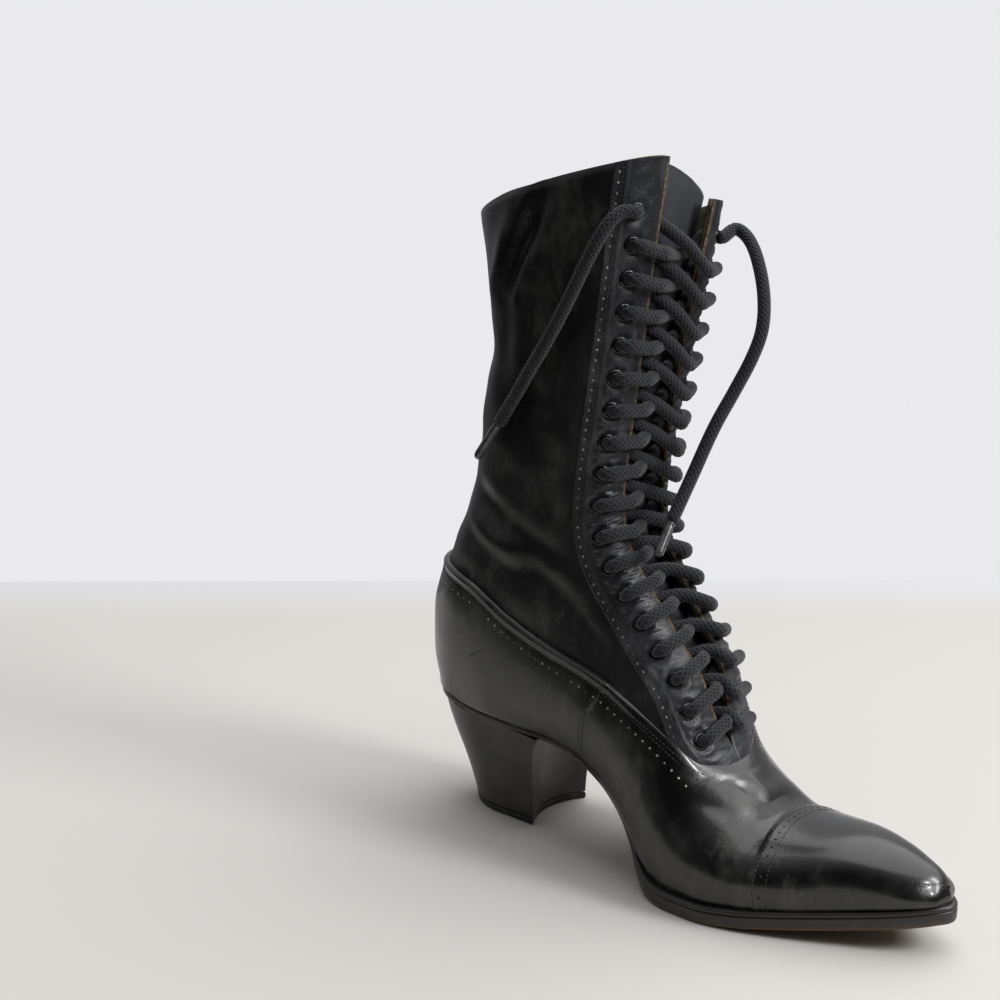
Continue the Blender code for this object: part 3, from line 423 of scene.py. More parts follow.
def plain_points(s, side, turn):
    """Outer face of the lofted upper; turn goes 0 at the top of a section to 1 at its foot."""
    s, turn = np.broadcast_arrays(np.asarray(s, float), np.asarray(turn, float))
    name = "medial_y" if side < 0 else "lateral_y"
    first = turn <= 0.5
    angle = np.where(first, turn, turn - 0.5) * np.pi
    peak = section("peak", s)
    t = np.where(first, peak * (1 - np.cos(angle)), peak + (1 - peak) * np.sin(angle))
    foot_x = section("foot_x", s)
    low = s < HEEL_CORNER
    foot_z = np.where(low, feather_z(foot_x), section("foot_z", s))
    foot_y = np.where(low, outline(FEATHER, FEATHER_COLUMNS, name, foot_x), section("foot_y", s))
    x = section("top_x", s) * (1 - t) + foot_x * t
    z = section("top_z", s) * (1 - t) + foot_z * t
    centre = section("top_y", s)
    edge = centre + side * section("gap", s)
    widest = section(name, s)
    rise = np.clip(np.sin(angle), 0.0, 1.0) ** section("front", s)
    fall = np.clip(np.cos(angle), 0.0, 1.0) ** (section("turn", s) / 0.5)
    y = np.where(first, edge + (widest - edge) * rise, foot_y + (widest - foot_y) * fall)
    z = z - np.tan(np.radians(section("roll", s))) * (y - centre)
    z = z - np.where(first, side * section("rise", s) * (1 - turn / 0.5).clip(0.0) ** 1.5, 0.0)
    return np.stack((x, y, z), -1)


def back_line(z):
    """Place of the back seam at a height."""
    low = SECTIONS[HEEL_CORNER:HEEL_CORNER + 4]
    return along(low, SECTION_COLUMNS, "foot_x", z, "foot_z")


def counter_outline(side):
    """Half outline of the counter at COUNTER_TOP: root of the distance from the back seam, and width."""
    fine = np.linspace(0.0, 1.0, 400)
    rows = [(0.0, 0.0)]
    for s in np.linspace(15.86, 12.0, 80):
        line = plain_points(np.full_like(fine, s), side, fine)
        point = plain_points(s, side, np.interp(-COUNTER_TOP, -line[:, 2], fine))
        rows.append((math.sqrt(max(float(point[0] - back_line(COUNTER_TOP)), 0.0)), abs(float(point[1]))))
    return np.array(rows)


COUNTER_OUTLINE = {side: counter_outline(side) for side in (-1, 1)}


def last_points(s, side, turn):
    """Outer face of the plain upper, its counter drawn evenly from the feather line up to COUNTER_TOP."""
    points = plain_points(s, side, turn)
    x, y, z = points[..., 0], points[..., 1], points[..., 2]
    behind = np.maximum(x - back_line(z), 0.0)
    table = COUNTER_OUTLINE[side]
    wide = np.interp(np.sqrt(behind), table[:, 0], table[:, 1])
    start = FEATHER[0]
    name = "medial_y" if side < 0 else "lateral_y"
    foot = np.abs(outline(FEATHER, FEATHER_COLUMNS, name, start[0] + behind))
    even = foot + (wide - foot) * smooth(start[1] - 4.0, COUNTER_TOP, z)
    share = (1 - smooth(66.0, COUNTER_TOP, z)) * (1 - smooth(24.0, 46.0, x))
    return np.stack((x, y + (side * even - y) * share, z), -1)


def side_normals(s, side, turn):
    """Outward directions of one side of the upper."""
    further, nearer = np.minimum(turn + 0.006, 1), np.maximum(turn - 0.006, 0)
    above, below = np.minimum(s + 0.03, COLLAR), np.maximum(s - 0.03, 0)
    across = last_points(s, side, further) - last_points(s, side, nearer)
    up = last_points(above, side, turn) - last_points(below, side, turn)
    return unit(np.cross(across, up) * side)


def last_normals(s, side, turn):
    """Outward directions of the upper, shared where its two sides meet."""
    s, turn = np.broadcast_arrays(np.asarray(s, float), np.asarray(turn, float))
    here = side_normals(s, side, turn)
    seam = ((turn <= 0) & (s <= THROAT_BASE)) | ((turn >= 1) & (s >= HEEL_CORNER)) | (s <= 0)
    shared = unit(here + side_normals(s, -side, turn))
    here = np.where(seam[..., None], shared, here)
    points = last_points(s, side, turn)
    round_back = unit((points - np.array((30.0, 0.0, 0.0))) * np.array((1.0, 1.0, 0.0)))
    share = smooth(0.72, 0.93, turn) * np.exp(-((s - HEEL_CORNER) / 0.9) ** 4)
    return unit(here * (1 - share[..., None]) + round_back * share[..., None])


def facing_turns(s, side, distance):
    """Turns that lie given distances round from the top edge of section s."""
    fine = np.linspace(0.0, 1.0, 161)
    line = last_points(np.full_like(fine, s), side, fine)
    walked = np.concatenate(((0.0,), np.cumsum(np.linalg.norm(np.diff(line, axis=0), axis=1))))
    return np.interp(distance, walked, fine)


def golosh_z(x):
    """Height of the golosh's top edge seen from the side."""
    return along(GOLOSH, GOLOSH_COLUMNS, "z", x)


def golosh_turns(s, side, drop=0.0):
    """Turns where sections cross a line a given drop under the golosh's top edge."""
    fine = np.linspace(0.0, 1.0, 241)
    turns = []
    for one in np.atleast_1d(s):
        line = last_points(np.full_like(fine, one), side, fine)
        above = line[:, 2] - golosh_z(line[:, 0]) + drop
        under = np.nonzero(above <= 0)[0]
        if len(under) == 0:
            turns.append(1.0)
        elif under[0] == 0:
            turns.append(0.0)
        else:
            i = under[0]
            part = above[i - 1] / (above[i - 1] - above[i])
            turns.append(float(fine[i - 1] + (fine[i] - fine[i - 1]) * part))
    return np.array(turns)


def golosh_distance(points):
    """How far points lie under the golosh's top edge, measured square to it."""
    x = points[..., 0]
    slope = (golosh_z(x + 1) - golosh_z(x - 1)) / 2
    return (golosh_z(x) - points[..., 2]) / np.sqrt(1 + slope * slope)


def crease_relief(points):
    """Height added by the worn-in creases at points."""
    relief = np.zeros(points.shape[:-1])
    for row in CREASES:
        a = np.array(row[0:3])
        way = np.array(row[3:6]) - a
        part = np.clip((points - a) @ way / (way @ way), 0.0, 1.0)
        near = np.linalg.norm(points - a - part[..., None] * way, axis=-1)
        ends = 0.35 + 0.65 * np.sin(np.pi * (0.1 + 0.8 * part))
        relief -= row[7] * ends * np.exp(-(near / row[6]) ** 2)
    return relief


def slack_relief(points):
    """Gentle slackness of unstretched shaft leather."""
    x, y, z = points[..., 0], points[..., 1], points[..., 2]
    return (0.35 * np.sin(0.11 * z + 0.05 * x + 0.04 * y) + 0.25 * np.sin(0.19 * z - 0.09 * x + 1.3)
            + 0.18 * np.sin(0.17 * x + 0.31 * z + 0.1 * y))


def to_frame(points):
    """Points of the last moved into the part's frame, in metres."""
    return (np.asarray(points, float) - FRAME_CENTRE) * MM


def new_piece(name, replaced, materials):
    """An empty mesh piece riding on the boot, standing for the named solids."""
    piece = bpy.data.objects.new(name, bpy.data.meshes.new(name))
    bpy.context.scene.collection.objects.link(piece)
    for material in materials:
        piece.data.materials.append(material)
    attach(piece, "root")
    if replaced:
        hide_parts(*replaced)
    return piece


def uv_layer(bm):
    """The mesh's one UV layer, by its name."""
    return bm.loops.layers.uv.get("UVMap") or bm.loops.layers.uv.new("UVMap")


def lay_grid(bm, points, outward=None, material=0):
    """A welded-up grid laid over points[row, column], its faces turned to the outward directions."""
    rows, columns = points.shape[:2]
    uv = uv_layer(bm)
    made = bmesh.ops.create_grid(bm, x_segments=columns - 1, y_segments=rows - 1, size=0.5, calc_uvs=True)
    placed = to_frame(points)
    verts = made["verts"]
    faces = set()
    dots = 0.0
    where = {}
    for vert in verts:
        row = round((vert.co.y + 0.5) * (rows - 1))
        column = round((vert.co.x + 0.5) * (columns - 1))
        where[vert] = (row, column)
        vert.co = placed[row, column]
        faces.update(vert.link_faces)
    for face in faces:
        face.normal_update()
        face.smooth = True
        face.material_index = material
        for loop in face.loops:
            row, column = where[loop.vert]
            loop[uv].uv = (column / (columns - 1), row / (rows - 1))
        if outward is not None:
            row, column = where[face.verts[0]]
            dots += face.normal.dot(Vector(outward[row, column])) * face.calc_area()
    if dots < 0:
        bmesh.ops.reverse_faces(bm, faces=list(faces))
    return verts


def finish_mesh(bm, piece, weld=0.02, recalc=False):
    """Weld, close up and store a mesh."""
    bmesh.ops.remove_doubles(bm, verts=bm.verts, dist=weld * MM)
    bmesh.ops.dissolve_degenerate(bm, edges=bm.edges, dist=1e-7)
    if recalc:
        bmesh.ops.recalc_face_normals(bm, faces=bm.faces)
        if bm.calc_volume(signed=True) < 0:
            bmesh.ops.reverse_faces(bm, faces=bm.faces)
    bm.to_mesh(piece.data)
    bm.free()


def curve_through(points, spacing):
    """Points at an even spacing on a smooth curve through route points."""
    points = np.asarray(points, float)
    knots = np.concatenate(((0.0,), np.cumsum(np.sqrt(np.linalg.norm(np.diff(points, axis=0), axis=1)))))
    slopes = np.empty_like(points)
    slopes[1:-1] = (points[2:] - points[:-2]) / (knots[2:] - knots[:-2])[:, None]
    slopes[0] = (points[1] - points[0]) / (knots[1] - knots[0])
    slopes[-1] = (points[-1] - points[-2]) / (knots[-1] - knots[-2])
    spans = [np.linspace(a, b, 24, endpoint=False) for a, b in zip(knots, knots[1:])]
    at = np.concatenate(spans + [knots[-1:]])
    i = np.clip(np.searchsorted(knots, at, side="right") - 1, 0, len(points) - 2)
    h = (knots[i + 1] - knots[i])[:, None]
    f = (at - knots[i])[:, None] / h
    fine = (points[i] * (1 + 2 * f) * (1 - f) ** 2 + slopes[i] * h * f * (1 - f) ** 2
            + points[i + 1] * f * f * (3 - 2 * f) + slopes[i + 1] * h * f * f * (f - 1))
    walked = np.concatenate(((0.0,), np.cumsum(np.linalg.norm(np.diff(fine, axis=0), axis=1))))
    count = max(2, round(walked[-1] / spacing))
    wanted = np.linspace(0.0, walked[-1], count + 1)
    return np.stack([np.interp(wanted, walked, fine[:, axis]) for axis in range(3)], -1)


def lay_tube(bm, path, radius, around, capped=True):
    """A round tube laid along a path; its UV runs round in u and along in turns of the girth in v."""
    path = np.asarray(path, float)
    radius = np.broadcast_to(np.asarray(radius, float), (len(path),))
    ways = unit(np.gradient(path, axis=0))
    normal = unit(np.cross(ways[0], (0.31, 0.52, 0.79)))
    rings = []
    outward = []
    angles = np.linspace(0.0, 2 * np.pi, around + 1)
    for point, way, size in zip(path, ways, radius):
        normal = unit(normal - way * (normal @ way))
        spokes = np.cos(angles)[:, None] * normal + np.sin(angles)[:, None] * np.cross(way, normal)
        rings.append(point + spokes * size)
        outward.append(spokes)
    verts = lay_grid(bm, np.array(rings), np.array(outward))
    uv = uv_layer(bm)
    length = np.linalg.norm(np.diff(path, axis=0), axis=1).sum()
    girth = 2 * np.pi * float(radius.max())
    faces = {face for vert in verts for face in vert.link_faces}
    for face in faces:
        for loop in face.loops:
            loop[uv].uv = (loop[uv].uv.x, loop[uv].uv.y * length / girth)
    bmesh.ops.remove_doubles(bm, verts=verts, dist=0.01 * MM)
    if capped:
        rim = [edge for edge in bm.edges if edge.is_boundary]
        bmesh.ops.holes_fill(bm, edges=rim, sides=around + 2)


def on_surface(s, side, turn, lift):
    """Points lifted off the upper."""
    return last_points(s, side, turn) + last_normals(s, side, turn) * np.asarray(lift)[..., None]


def spaced(points, outward, spacing):
    """Places at an even spacing on a line, with their outward and forward directions."""
    walked = np.concatenate(((0.0,), np.cumsum(np.linalg.norm(np.diff(points, axis=0), axis=1))))
    count = max(1, int(walked[-1] / spacing))
    wanted = (np.arange(count) + 0.5) * walked[-1] / count
    place = np.stack([np.interp(wanted, walked, points[:, axis]) for axis in range(3)], -1)
    ahead = np.stack([np.interp(wanted + 0.3, walked, points[:, axis]) for axis in range(3)], -1)
    behind = np.stack([np.interp(wanted - 0.3, walked, points[:, axis]) for axis in range(3)], -1)
    out = unit(np.stack([np.interp(wanted, walked, outward[:, axis]) for axis in range(3)], -1))
    way = ahead - behind
    way = unit(way - out * (way * out).sum(-1, keepdims=True))
    return place, out, way


def turned(place, out, way, sizes):
    """Matrix that lays a small shape with x along way and z outward."""
    across = np.cross(out, way)
    frame_axes = np.stack((way * sizes[0], across * sizes[1], out * sizes[2]), -1) * MM
    matrix = Matrix.Identity(4)
    for row in range(3):
        for column in range(3):
            matrix[row][column] = frame_axes[row, column]
        matrix[row][3] = to_frame(place)[row]
    return matrix


def eyelet_places(side):
    """Section numbers of the eyelets, evenly spaced along a facing from the bottom up."""
    fine = np.linspace(*EYELET_SPAN[side], 300)
    turns = np.array([float(facing_turns(s, side, EYELET_INSET)) for s in fine])
    line = last_points(fine, side, turns)
    walked = np.concatenate(((0.0,), np.cumsum(np.linalg.norm(np.diff(line, axis=0), axis=1))))
    return np.interp(np.linspace(0.0, walked[-1], EYELETS), walked, fine)


def eyelet_frame(s, side):
    """Centre on the upper, outward direction and the way toward the throat."""
    turns = facing_turns(s, side, np.array((EYELET_INSET - 1.0, EYELET_INSET, EYELET_INSET + 1.0)))
    line = last_points(np.full(3, s), side, turns)
    out = last_normals(np.array([s]), side, turns[1:2])[0]
    way = line[0] - line[2]
    return line[1], out, unit(way - out * (way @ out))


PLACES = {side: eyelet_places(side) for side in (-1, 1)}
EYELET_FRAMES = {side: [eyelet_frame(s, side) for s in PLACES[side]] for side in (-1, 1)}


def linear(colour):
    """An sRGB hex colour as linear red, green and blue."""
    parts = [int(colour[i:i + 2], 16) / 255 for i in (1, 3, 5)]
    return tuple(v / 12.92 if v <= 0.04045 else ((v + 0.055) / 1.055) ** 2.4 for v in parts)


def add(tree, kind, inputs=None, **settings):
    """Add a node with its settings; inputs are values, or sockets that are linked."""
    made = tree.nodes.new(kind)
    for name, value in settings.items():
        setattr(made, name, value)
    for name, value in (inputs or {}).items():
        if isinstance(value, bpy.types.NodeSocket):
            tree.links.new(value, made.inputs[name])
        else:
            made.inputs[name].default_value = value
    return made


def start_material(name, inputs):
    """A node material whose shader has the given values; returns it, its tree, shader and place."""
    material = bpy.data.materials.new(name)
    material.use_nodes = True
    tree = material.node_tree
    shader = tree.nodes["Principled BSDF"]
    for key, value in inputs.items():
        shader.inputs[key].default_value = value
    place = add(tree, "ShaderNodeTexCoord").outputs["Object"]
    return material, tree, shader, place


def noise(tree, place, width, detail, roughness=0.5):
    """Noise with blotches about width millimetres across."""
    return add(tree, "ShaderNodeTexNoise", {"Vector": place, "Scale": 1 / (width * MM), "Detail": detail,
                                            "Roughness": roughness}).outputs[0]


def ramp(tree, value, low, high, first, last):
    """A value between low and high stretched from first to last."""
    return add(tree, "ShaderNodeMapRange", {0: value, 1: low, 2: high, 3: first, 4: last}).outputs[0]


def calc(tree, operation, *values):
    """One step of arithmetic."""
    return add(tree, "ShaderNodeMath", dict(enumerate(values)), operation=operation).outputs[0]


def mixed(tree, share, first, second):
    """Two colours mixed by a share."""
    colours = {0: share, 6: (*first, 1.0), 7: (*second, 1.0)}
    return add(tree, "ShaderNodeMix", colours, data_type="RGBA").outputs[2]


def bumped(tree, height, strength, depth):
    """A surface made uneven by a height, its depth in millimetres."""
    return add(tree, "ShaderNodeBump", {"Height": height, "Strength": strength,
                                        "Distance": depth * MM}).outputs[0]


def depth_along(tree, place, way):
    """How far a place lies along a direction."""
    return add(tree, "ShaderNodeVectorMath", {0: place, 1: way}, operation="DOT_PRODUCT").outputs["Value"]


def own_uv(tree):
    """The two coordinates of a piece's own UV."""
    uv = add(tree, "ShaderNodeUVMap", uv_map="UVMap").outputs[0]
    return add(tree, "ShaderNodeSeparateXYZ", {0: uv}).outputs[0:2]


def dress(tree, shader, sockets):
    """Link worked-out values to the shader."""
    for name, socket in sockets.items():
        tree.links.new(socket, shader.inputs[name])


def leather(name, colour, worn, rough, grain, wear, relief, coat=0.0):
    """Dyed, waxed calf: a dark body, cloudy gloss, fine grain and pale scuffs where the dye has rubbed."""
    material, tree, shader, place = start_material(
        name, {"IOR": 1.5, "Specular IOR Level": 0.5, "Coat Weight": coat, "Coat Roughness": COAT_ROUGHNESS})
    streak = add(tree, "ShaderNodeMapping", {"Vector": place, "Rotation": (0.3, 0.5, 0.2),
                                             "Scale": (1.0, 1.0, 0.4)}).outputs[0]
    drawn = add(tree, "ShaderNodeMapping", {"Vector": place, "Rotation": (0.9, 0.2, 0.6),
                                            "Scale": (1.0, 1.0, 0.05)}).outputs[0]
    pebble = add(tree, "ShaderNodeTexVoronoi", {"Vector": place, "Scale": 1 / (grain * MM)}).outputs[0]
    cloud = noise(tree, place, 26, 4.0)
    rub = noise(tree, streak, 8, 9.0, 0.7)
    scratch = noise(tree, drawn, 1.6, 3.0)
    fine = noise(tree, place, 0.6, 5.0)
    patch = ramp(tree, cloud, 0.42, 0.66, 0.1, 1.0)
    scuff = ramp(tree, rub, 0.46, 0.74, 0.0, wear)
    nick = ramp(tree, scratch, 0.70, 0.76, 0.0, wear * 0.6)
    share = calc(tree, "MULTIPLY", patch, calc(tree, "MAXIMUM", scuff, nick))
    gloss = ramp(tree, cloud, 0.3, 0.7, rough - 0.09, rough + 0.10)
    height = calc(tree, "MULTIPLY_ADD", rub, 1.6, calc(tree, "MULTIPLY_ADD", pebble, 0.6, fine))
    dress(tree, shader, {
        "Base Color": mixed(tree, share, colour, worn),
        "Roughness": calc(tree, "MULTIPLY_ADD", share, 0.25, gloss),
        "Normal": bumped(tree, height, relief, 0.22),
    })
    return material


def lining_twill(name, colour, dirt):
    """Olive cotton twill lining: matt, with slanting ribs and a little grime."""
    material, tree, shader, place = start_material(
        name, {"IOR": 1.45, "Specular IOR Level": 0.25, "Roughness": 0.9})
    # Real ribs are about 1 mm; they are drawn TWILL_REPEAT wide so that they hold at picture size.
    ribs = add(tree, "ShaderNodeTexWave", {"Vector": place, "Scale": 2 * math.pi / (10 * TWILL_REPEAT * MM),
                                           "Distortion": 0.4}, bands_direction="DIAGONAL").outputs[0]
    dress(tree, shader, {
        "Base Color": mixed(tree, noise(tree, place, 14, 5.0), colour, dirt),
        "Normal": bumped(tree, ribs, 0.5, 0.2),
    })
    return material


def raw_edge(name, colour, dirt):
    """Cut leather edge: tan fibres, matt, darkened in places."""
    material, tree, shader, place = start_material(
        name, {"IOR": 1.45, "Specular IOR Level": 0.3, "Roughness": 0.8})
    fibre = noise(tree, place, 1.4, 6.0)
    dress(tree, shader, {
        "Base Color": mixed(tree, ramp(tree, fibre, 0.35, 0.65, 0.0, 1.0), colour, dirt),
        "Normal": bumped(tree, fibre, 0.5, 0.15),
    })
    return material


def braided_cotton(name, colour, lit_plait):
    """Waxed cotton braid: matt charcoal plaits crossing both ways, read from the cord's own UV; the plaits'
    crowns are painted lighter and the grooves between them darker, as painted light and shade.
    """
    material, tree, shader, _ = start_material(
        name, {"IOR": 1.45, "Specular IOR Level": 0.35, "Roughness": 0.78, "Sheen Weight": 0.25,
               "Sheen Roughness": 0.5})
    # A little coarser than real braid, so that it holds at picture size.
    around, length = own_uv(tree)
    plaits = []
    for slant in (1.0, -1.0):
        along_cord = calc(tree, "MULTIPLY", length, slant * PLAITS_ALONG)
        phase = calc(tree, "MULTIPLY_ADD", around, PLAITS_ROUND, along_cord)
        plaits.append(calc(tree, "SINE", calc(tree, "MULTIPLY", phase, 2 * math.pi)))
    braid = calc(tree, "MAXIMUM", *plaits)
    # Painted light and shade: the crowns of the plaits take the lighter colour, the grooves between them the
    # darker one.
    dress(tree, shader, {
        "Base Color": mixed(tree, ramp(tree, braid, -0.6, 0.95, 0.0, 1.0), colour, lit_plait),
        "Normal": bumped(tree, braid, 0.7, 0.3),
    })
    return material


def hard_finish(name, colour, other, rough, grain, relief, inputs=None):
    """A smooth made surface, such as enamel, plastic or rubber, with faint mottling and handling marks."""
    material, tree, shader, place = start_material(name, {"IOR": 1.5, **(inputs or {})})
    mottle = noise(tree, place, grain, 6.0)
    dress(tree, shader, {
        "Base Color": mixed(tree, ramp(tree, mottle, 0.42, 0.7, 0.0, 1.0), colour, other),
        "Roughness": ramp(tree, mottle, 0.3, 0.7, rough - 0.05, rough + 0.1),
        "Normal": bumped(tree, mottle, relief, 0.1),
    })
    return material


def sole_edge_finish(name, black, brown):
    """Inked sole leather: black burnished edge, rubbed brown toward the floor, read from its own UV."""
    material, tree, shader, place = start_material(name, {"IOR": 1.5, "Specular IOR Level": 0.45})
    down = own_uv(tree)[1]
    rub = noise(tree, place, 5, 7.0)
    share = ramp(tree, calc(tree, "MULTIPLY_ADD", rub, 0.10, down), 0.715, 0.80, 0.0, 0.9)
    dress(tree, shader, {
        "Base Color": mixed(tree, share, black, brown),
        "Roughness": ramp(tree, share, 0.0, 1.0, 0.36, 0.75),
        "Normal": bumped(tree, rub, 0.35, 0.2),
    })
    return material


def colour_property(name, description, colour):
    """A colour a user would change."""
    return bpy.props.FloatVectorProperty(name=name, description=description, subtype="COLOR", size=3, min=0.0,
                                         max=1.0, default=linear(colour))


def length_property(name, description, default, low, high):
    """A length a user would change, given in millimetres."""
    return bpy.props.FloatProperty(name=name, description=description, default=default * MM, min=low * MM,
                                   max=high * MM, unit="LENGTH", precision=5)


class BootColours(bpy.types.PropertyGroup):
    """Colours of the boot's finishes."""
    shaft: colour_property("Shaft leather", "Body colour of the shaft", "#101012")
    golosh: colour_property("Golosh leather", "Body colour of the vamp, cap and counter", "#0d0d0e")
    eyestay: colour_property("Eyestay leather", "Body colour of the strips that carry the eyelets", "#2b2c30")
    tongue: colour_property("Tongue leather", "Body colour of the tongue", "#44454a")
    scuff: colour_property("Scuffs", "Colour where the dye has rubbed off", "#66655f")
    lining: colour_property("Lining", "Colour of the twill lining", "#5d5c49")
    edge: colour_property("Cut edge", "Colour of the raw leather edges", "#80725f")
    lace: colour_property("Lace", "Colour of the braided lace", "#202126")
    sole_wear: colour_property("Worn sole", "Colour of the rubbed under edge of the sole", "#6a5138")
    pinhole: colour_property("Pinholes", "Colour seen in the punched holes", "#cbc2b0")
    floor: colour_property("Floor", "Colour of the floor", "#d6d4cf")


class BootSizes(bpy.types.PropertyGroup):
    """Sizes of the boot's fine detail."""
    stitch: length_property("Stitch", "Length of one stitch", 1.7, 0.5, 5.0)
    pinhole_pitch: length_property("Pinhole pitch", "Spacing of the punched holes", 3.9, 1.0, 10.0)
    grain: length_property("Grain", "Width of one leather grain", 0.9, 0.2, 5.0)


class PieceOperator:
    """Shared by the operators: the file's colours and sizes."""
    bl_options = {"REGISTER", "UNDO"}

    @staticmethod
    def colours(context):
        return context.scene.boot_colours

    @staticmethod
    def sizes(context):
        return context.scene.boot_sizes


def shared_material(name, make):
    """A material by name, made once."""
    return bpy.data.materials.get(name) or make(name)


def end_route(side, route):
    """Route of a free lace end, out of its top eyelet."""
    centre, out, way = EYELET_FRAMES[side][-1]
    return np.array([centre + out * 1.4, centre + out * 3.4 - way * 1.2] + [np.array(p) for p in route])


def lace_material(context):
    """The lace's braided cotton, a darker colour painted as shade in the grooves and a lighter one painted as
    light on the plaits' crowns.
    """
    colours = context.scene.boot_colours
    shade, lit_plait = tuple(colours.lace * 0.6), tuple(colours.lace * 1.45)
    return shared_material("braided_cotton", lambda name: braided_cotton(name, shade, lit_plait))


class BOOT_OT_make_lace_ends(PieceOperator, bpy.types.Operator):
    """Lay the two free ends of the lace with their aglets"""
    bl_idname = "boot.make_lace_ends"
    bl_label = "Lace ends"

    def execute(self, context):
        clear = hard_finish("clear_acetate", linear("#45454a"), linear("#6a6965"), 0.25, 2.5, 0.15,
                            {"Coat Weight": 0.3, "Coat Roughness": 0.15})
        for name, side, route, tip in (("medial", -1, MEDIAL_END, MEDIAL_AGLET),
                                       ("lateral", 1, LATERAL_END, LATERAL_AGLET)):
            path = curve_through(end_route(side, route), 1.4)
            end = new_piece("free_end_" + name, ["lace_end_" + name], [lace_material(context)])
            bm = bmesh.new()
            lay_tube(bm, path, FREE_RADIUS, 12)
            finish_mesh(bm, end)
            aglet = new_piece("acetate_tip_" + name, ["aglet_" + name], [clear])
            bm = bmesh.new()
            line = np.linspace(np.array(tip[0]), np.array(tip[1]), 22)
            part = np.linspace(0.0, 1.0, 22)
            pinch = 1.0 - 0.10 * np.exp(-((part - 0.12) / 0.05) ** 2) - 0.35 * smooth(0.93, 1.0, part)
            lay_tube(bm, line, AGLET_RADIUS * pinch, 14)
            finish_mesh(bm, aglet)
            points = to_frame(path)
        return {"FINISHED"}


class BOOT_OT_make_upper(PieceOperator, bpy.types.Operator):
    """Build the hollow upper with its creases, lining and cut edges"""
    bl_idname = "boot.make_upper"
    bl_label = "Upper"

    def execute(self, context):
        colours = self.colours(context)
        grain = self.sizes(context).grain / MM
        skins = [
            leather("waxed_calf_shaft", colours.shaft, colours.scuff, 0.40, grain, 0.75, 0.45),
            lining_twill("cotton_twill_lining", colours.lining, linear("#3c3b30")),
            raw_edge("cut_leather_edge", colours.edge, linear("#4a3a28")),
        ]
        piece = new_piece("upper_wall", ["upper"], skins)
        bm = bmesh.new()
        s = np.linspace(0.0, COLLAR, 230)[:, None]
        turn = np.linspace(0.0, 1.0, 64)[None, :]
        s, turn = np.broadcast_arrays(s, turn)
        for side in (-1, 1):
            points = last_points(s, side, turn)
            outward = last_normals(s, side, turn)
            reach = np.linalg.norm(points - points[:, :1], axis=-1)
            free = smooth(0.0, 7.0, -golosh_distance(points))
            free = free * smooth(EYESTAY_WIDTH, EYESTAY_WIDTH + 7.0, reach)
            lift = (crease_relief(points) + slack_relief(points)) * free
            lift = lift + np.minimum(toe_relief(points), 0.0)
            seam = np.exp(-((1 - turn) * 110.0) ** 2) * (s > HEEL_CORNER) * 0.5
            lay_grid(bm, points + outward * (lift - seam)[..., None], outward)
        ease_heel_corner(bm, 6)
        finish_mesh(bm, piece)
        wall = piece.modifiers.new("wall", "SOLIDIFY")
        wall.thickness = WALL * MM
        wall.offset = -1.0
        wall.use_rim = True
        wall.material_offset = 1
        wall.material_offset_rim = 2
        return {"FINISHED"}


def toe_relief(points):
    """Almond fullness of the toe cap and the fall of its tip."""
    x, z = points[..., 0], points[..., 2]
    full = 1.9 * np.exp(-((x - 208.0) / 16.0) ** 2) * smooth(20.0, 31.0, z)
    return full - 2.3 * smooth(221.0, 242.0, x) * smooth(20.0, 27.0, z)


def ease_heel_corner(bm, passes):
    """Weld the back seam and smooth away the pinch where it meets the feather line."""
    low, high = to_frame(HEEL_CORNER_BOX)
    bmesh.ops.remove_doubles(bm, verts=bm.verts, dist=0.02 * MM)
    near = [vert for vert in bm.verts
            if not vert.is_boundary and all(a < v < b for a, v, b in zip(low, vert.co, high))]
    for _ in range(passes):
        bmesh.ops.smooth_vert(bm, verts=near, factor=0.5, use_axis_x=True, use_axis_y=True, use_axis_z=True)


def seam_place(z):
    """How far forward the side seam lies at a height."""
    upward = SIDE_SEAM[::-1]
    return np.interp(z, table_column(upward, SEAM_COLUMNS, "z"), table_column(upward, SEAM_COLUMNS, "x"))


def golosh_lift(points):
    """Height of the golosh over the upper: a turned edge, the cap's and counter's laps and soft creases."""
    distance = golosh_distance(points)
    x, z = points[..., 0], points[..., 2]
    throat = smooth(104.0, 140.0, x)
    edge = np.sqrt(np.clip(1 - (1 - np.clip(distance / (1.5 + 3.5 * throat), 0.0, 1.0)) ** 2, 0.0, 1.0))
    bead = 0.7 * (1 - 0.9 * throat) * np.exp(-((distance - 1.7) / 1.3) ** 2)
    groove = -0.12 * np.exp(-((distance - 4.3) / 0.8) ** 2)
    cap = 0.45 * smooth(-0.9, 0.9, x - along(CAP_LINE, CAP_COLUMNS, "x", z, "z"))
    counter = 0.4 * smooth(-0.8, 0.8, seam_place(z) - x)
    soft = smooth(2.0, 8.0, distance)
    lift = -0.35 + (GOLOSH_LIFT + 0.35 - 0.35 * throat) * edge + bead + groove + cap + counter
    return lift + toe_relief(points) + soft * crease_relief(points)


def on_golosh(s, side, turn):
    """A line or sheet on the golosh's outer face: points and outward directions."""
    points = last_points(s, side, turn)
    outward = last_normals(s, side, turn)
    return points + outward * golosh_lift(points)[..., None], outward


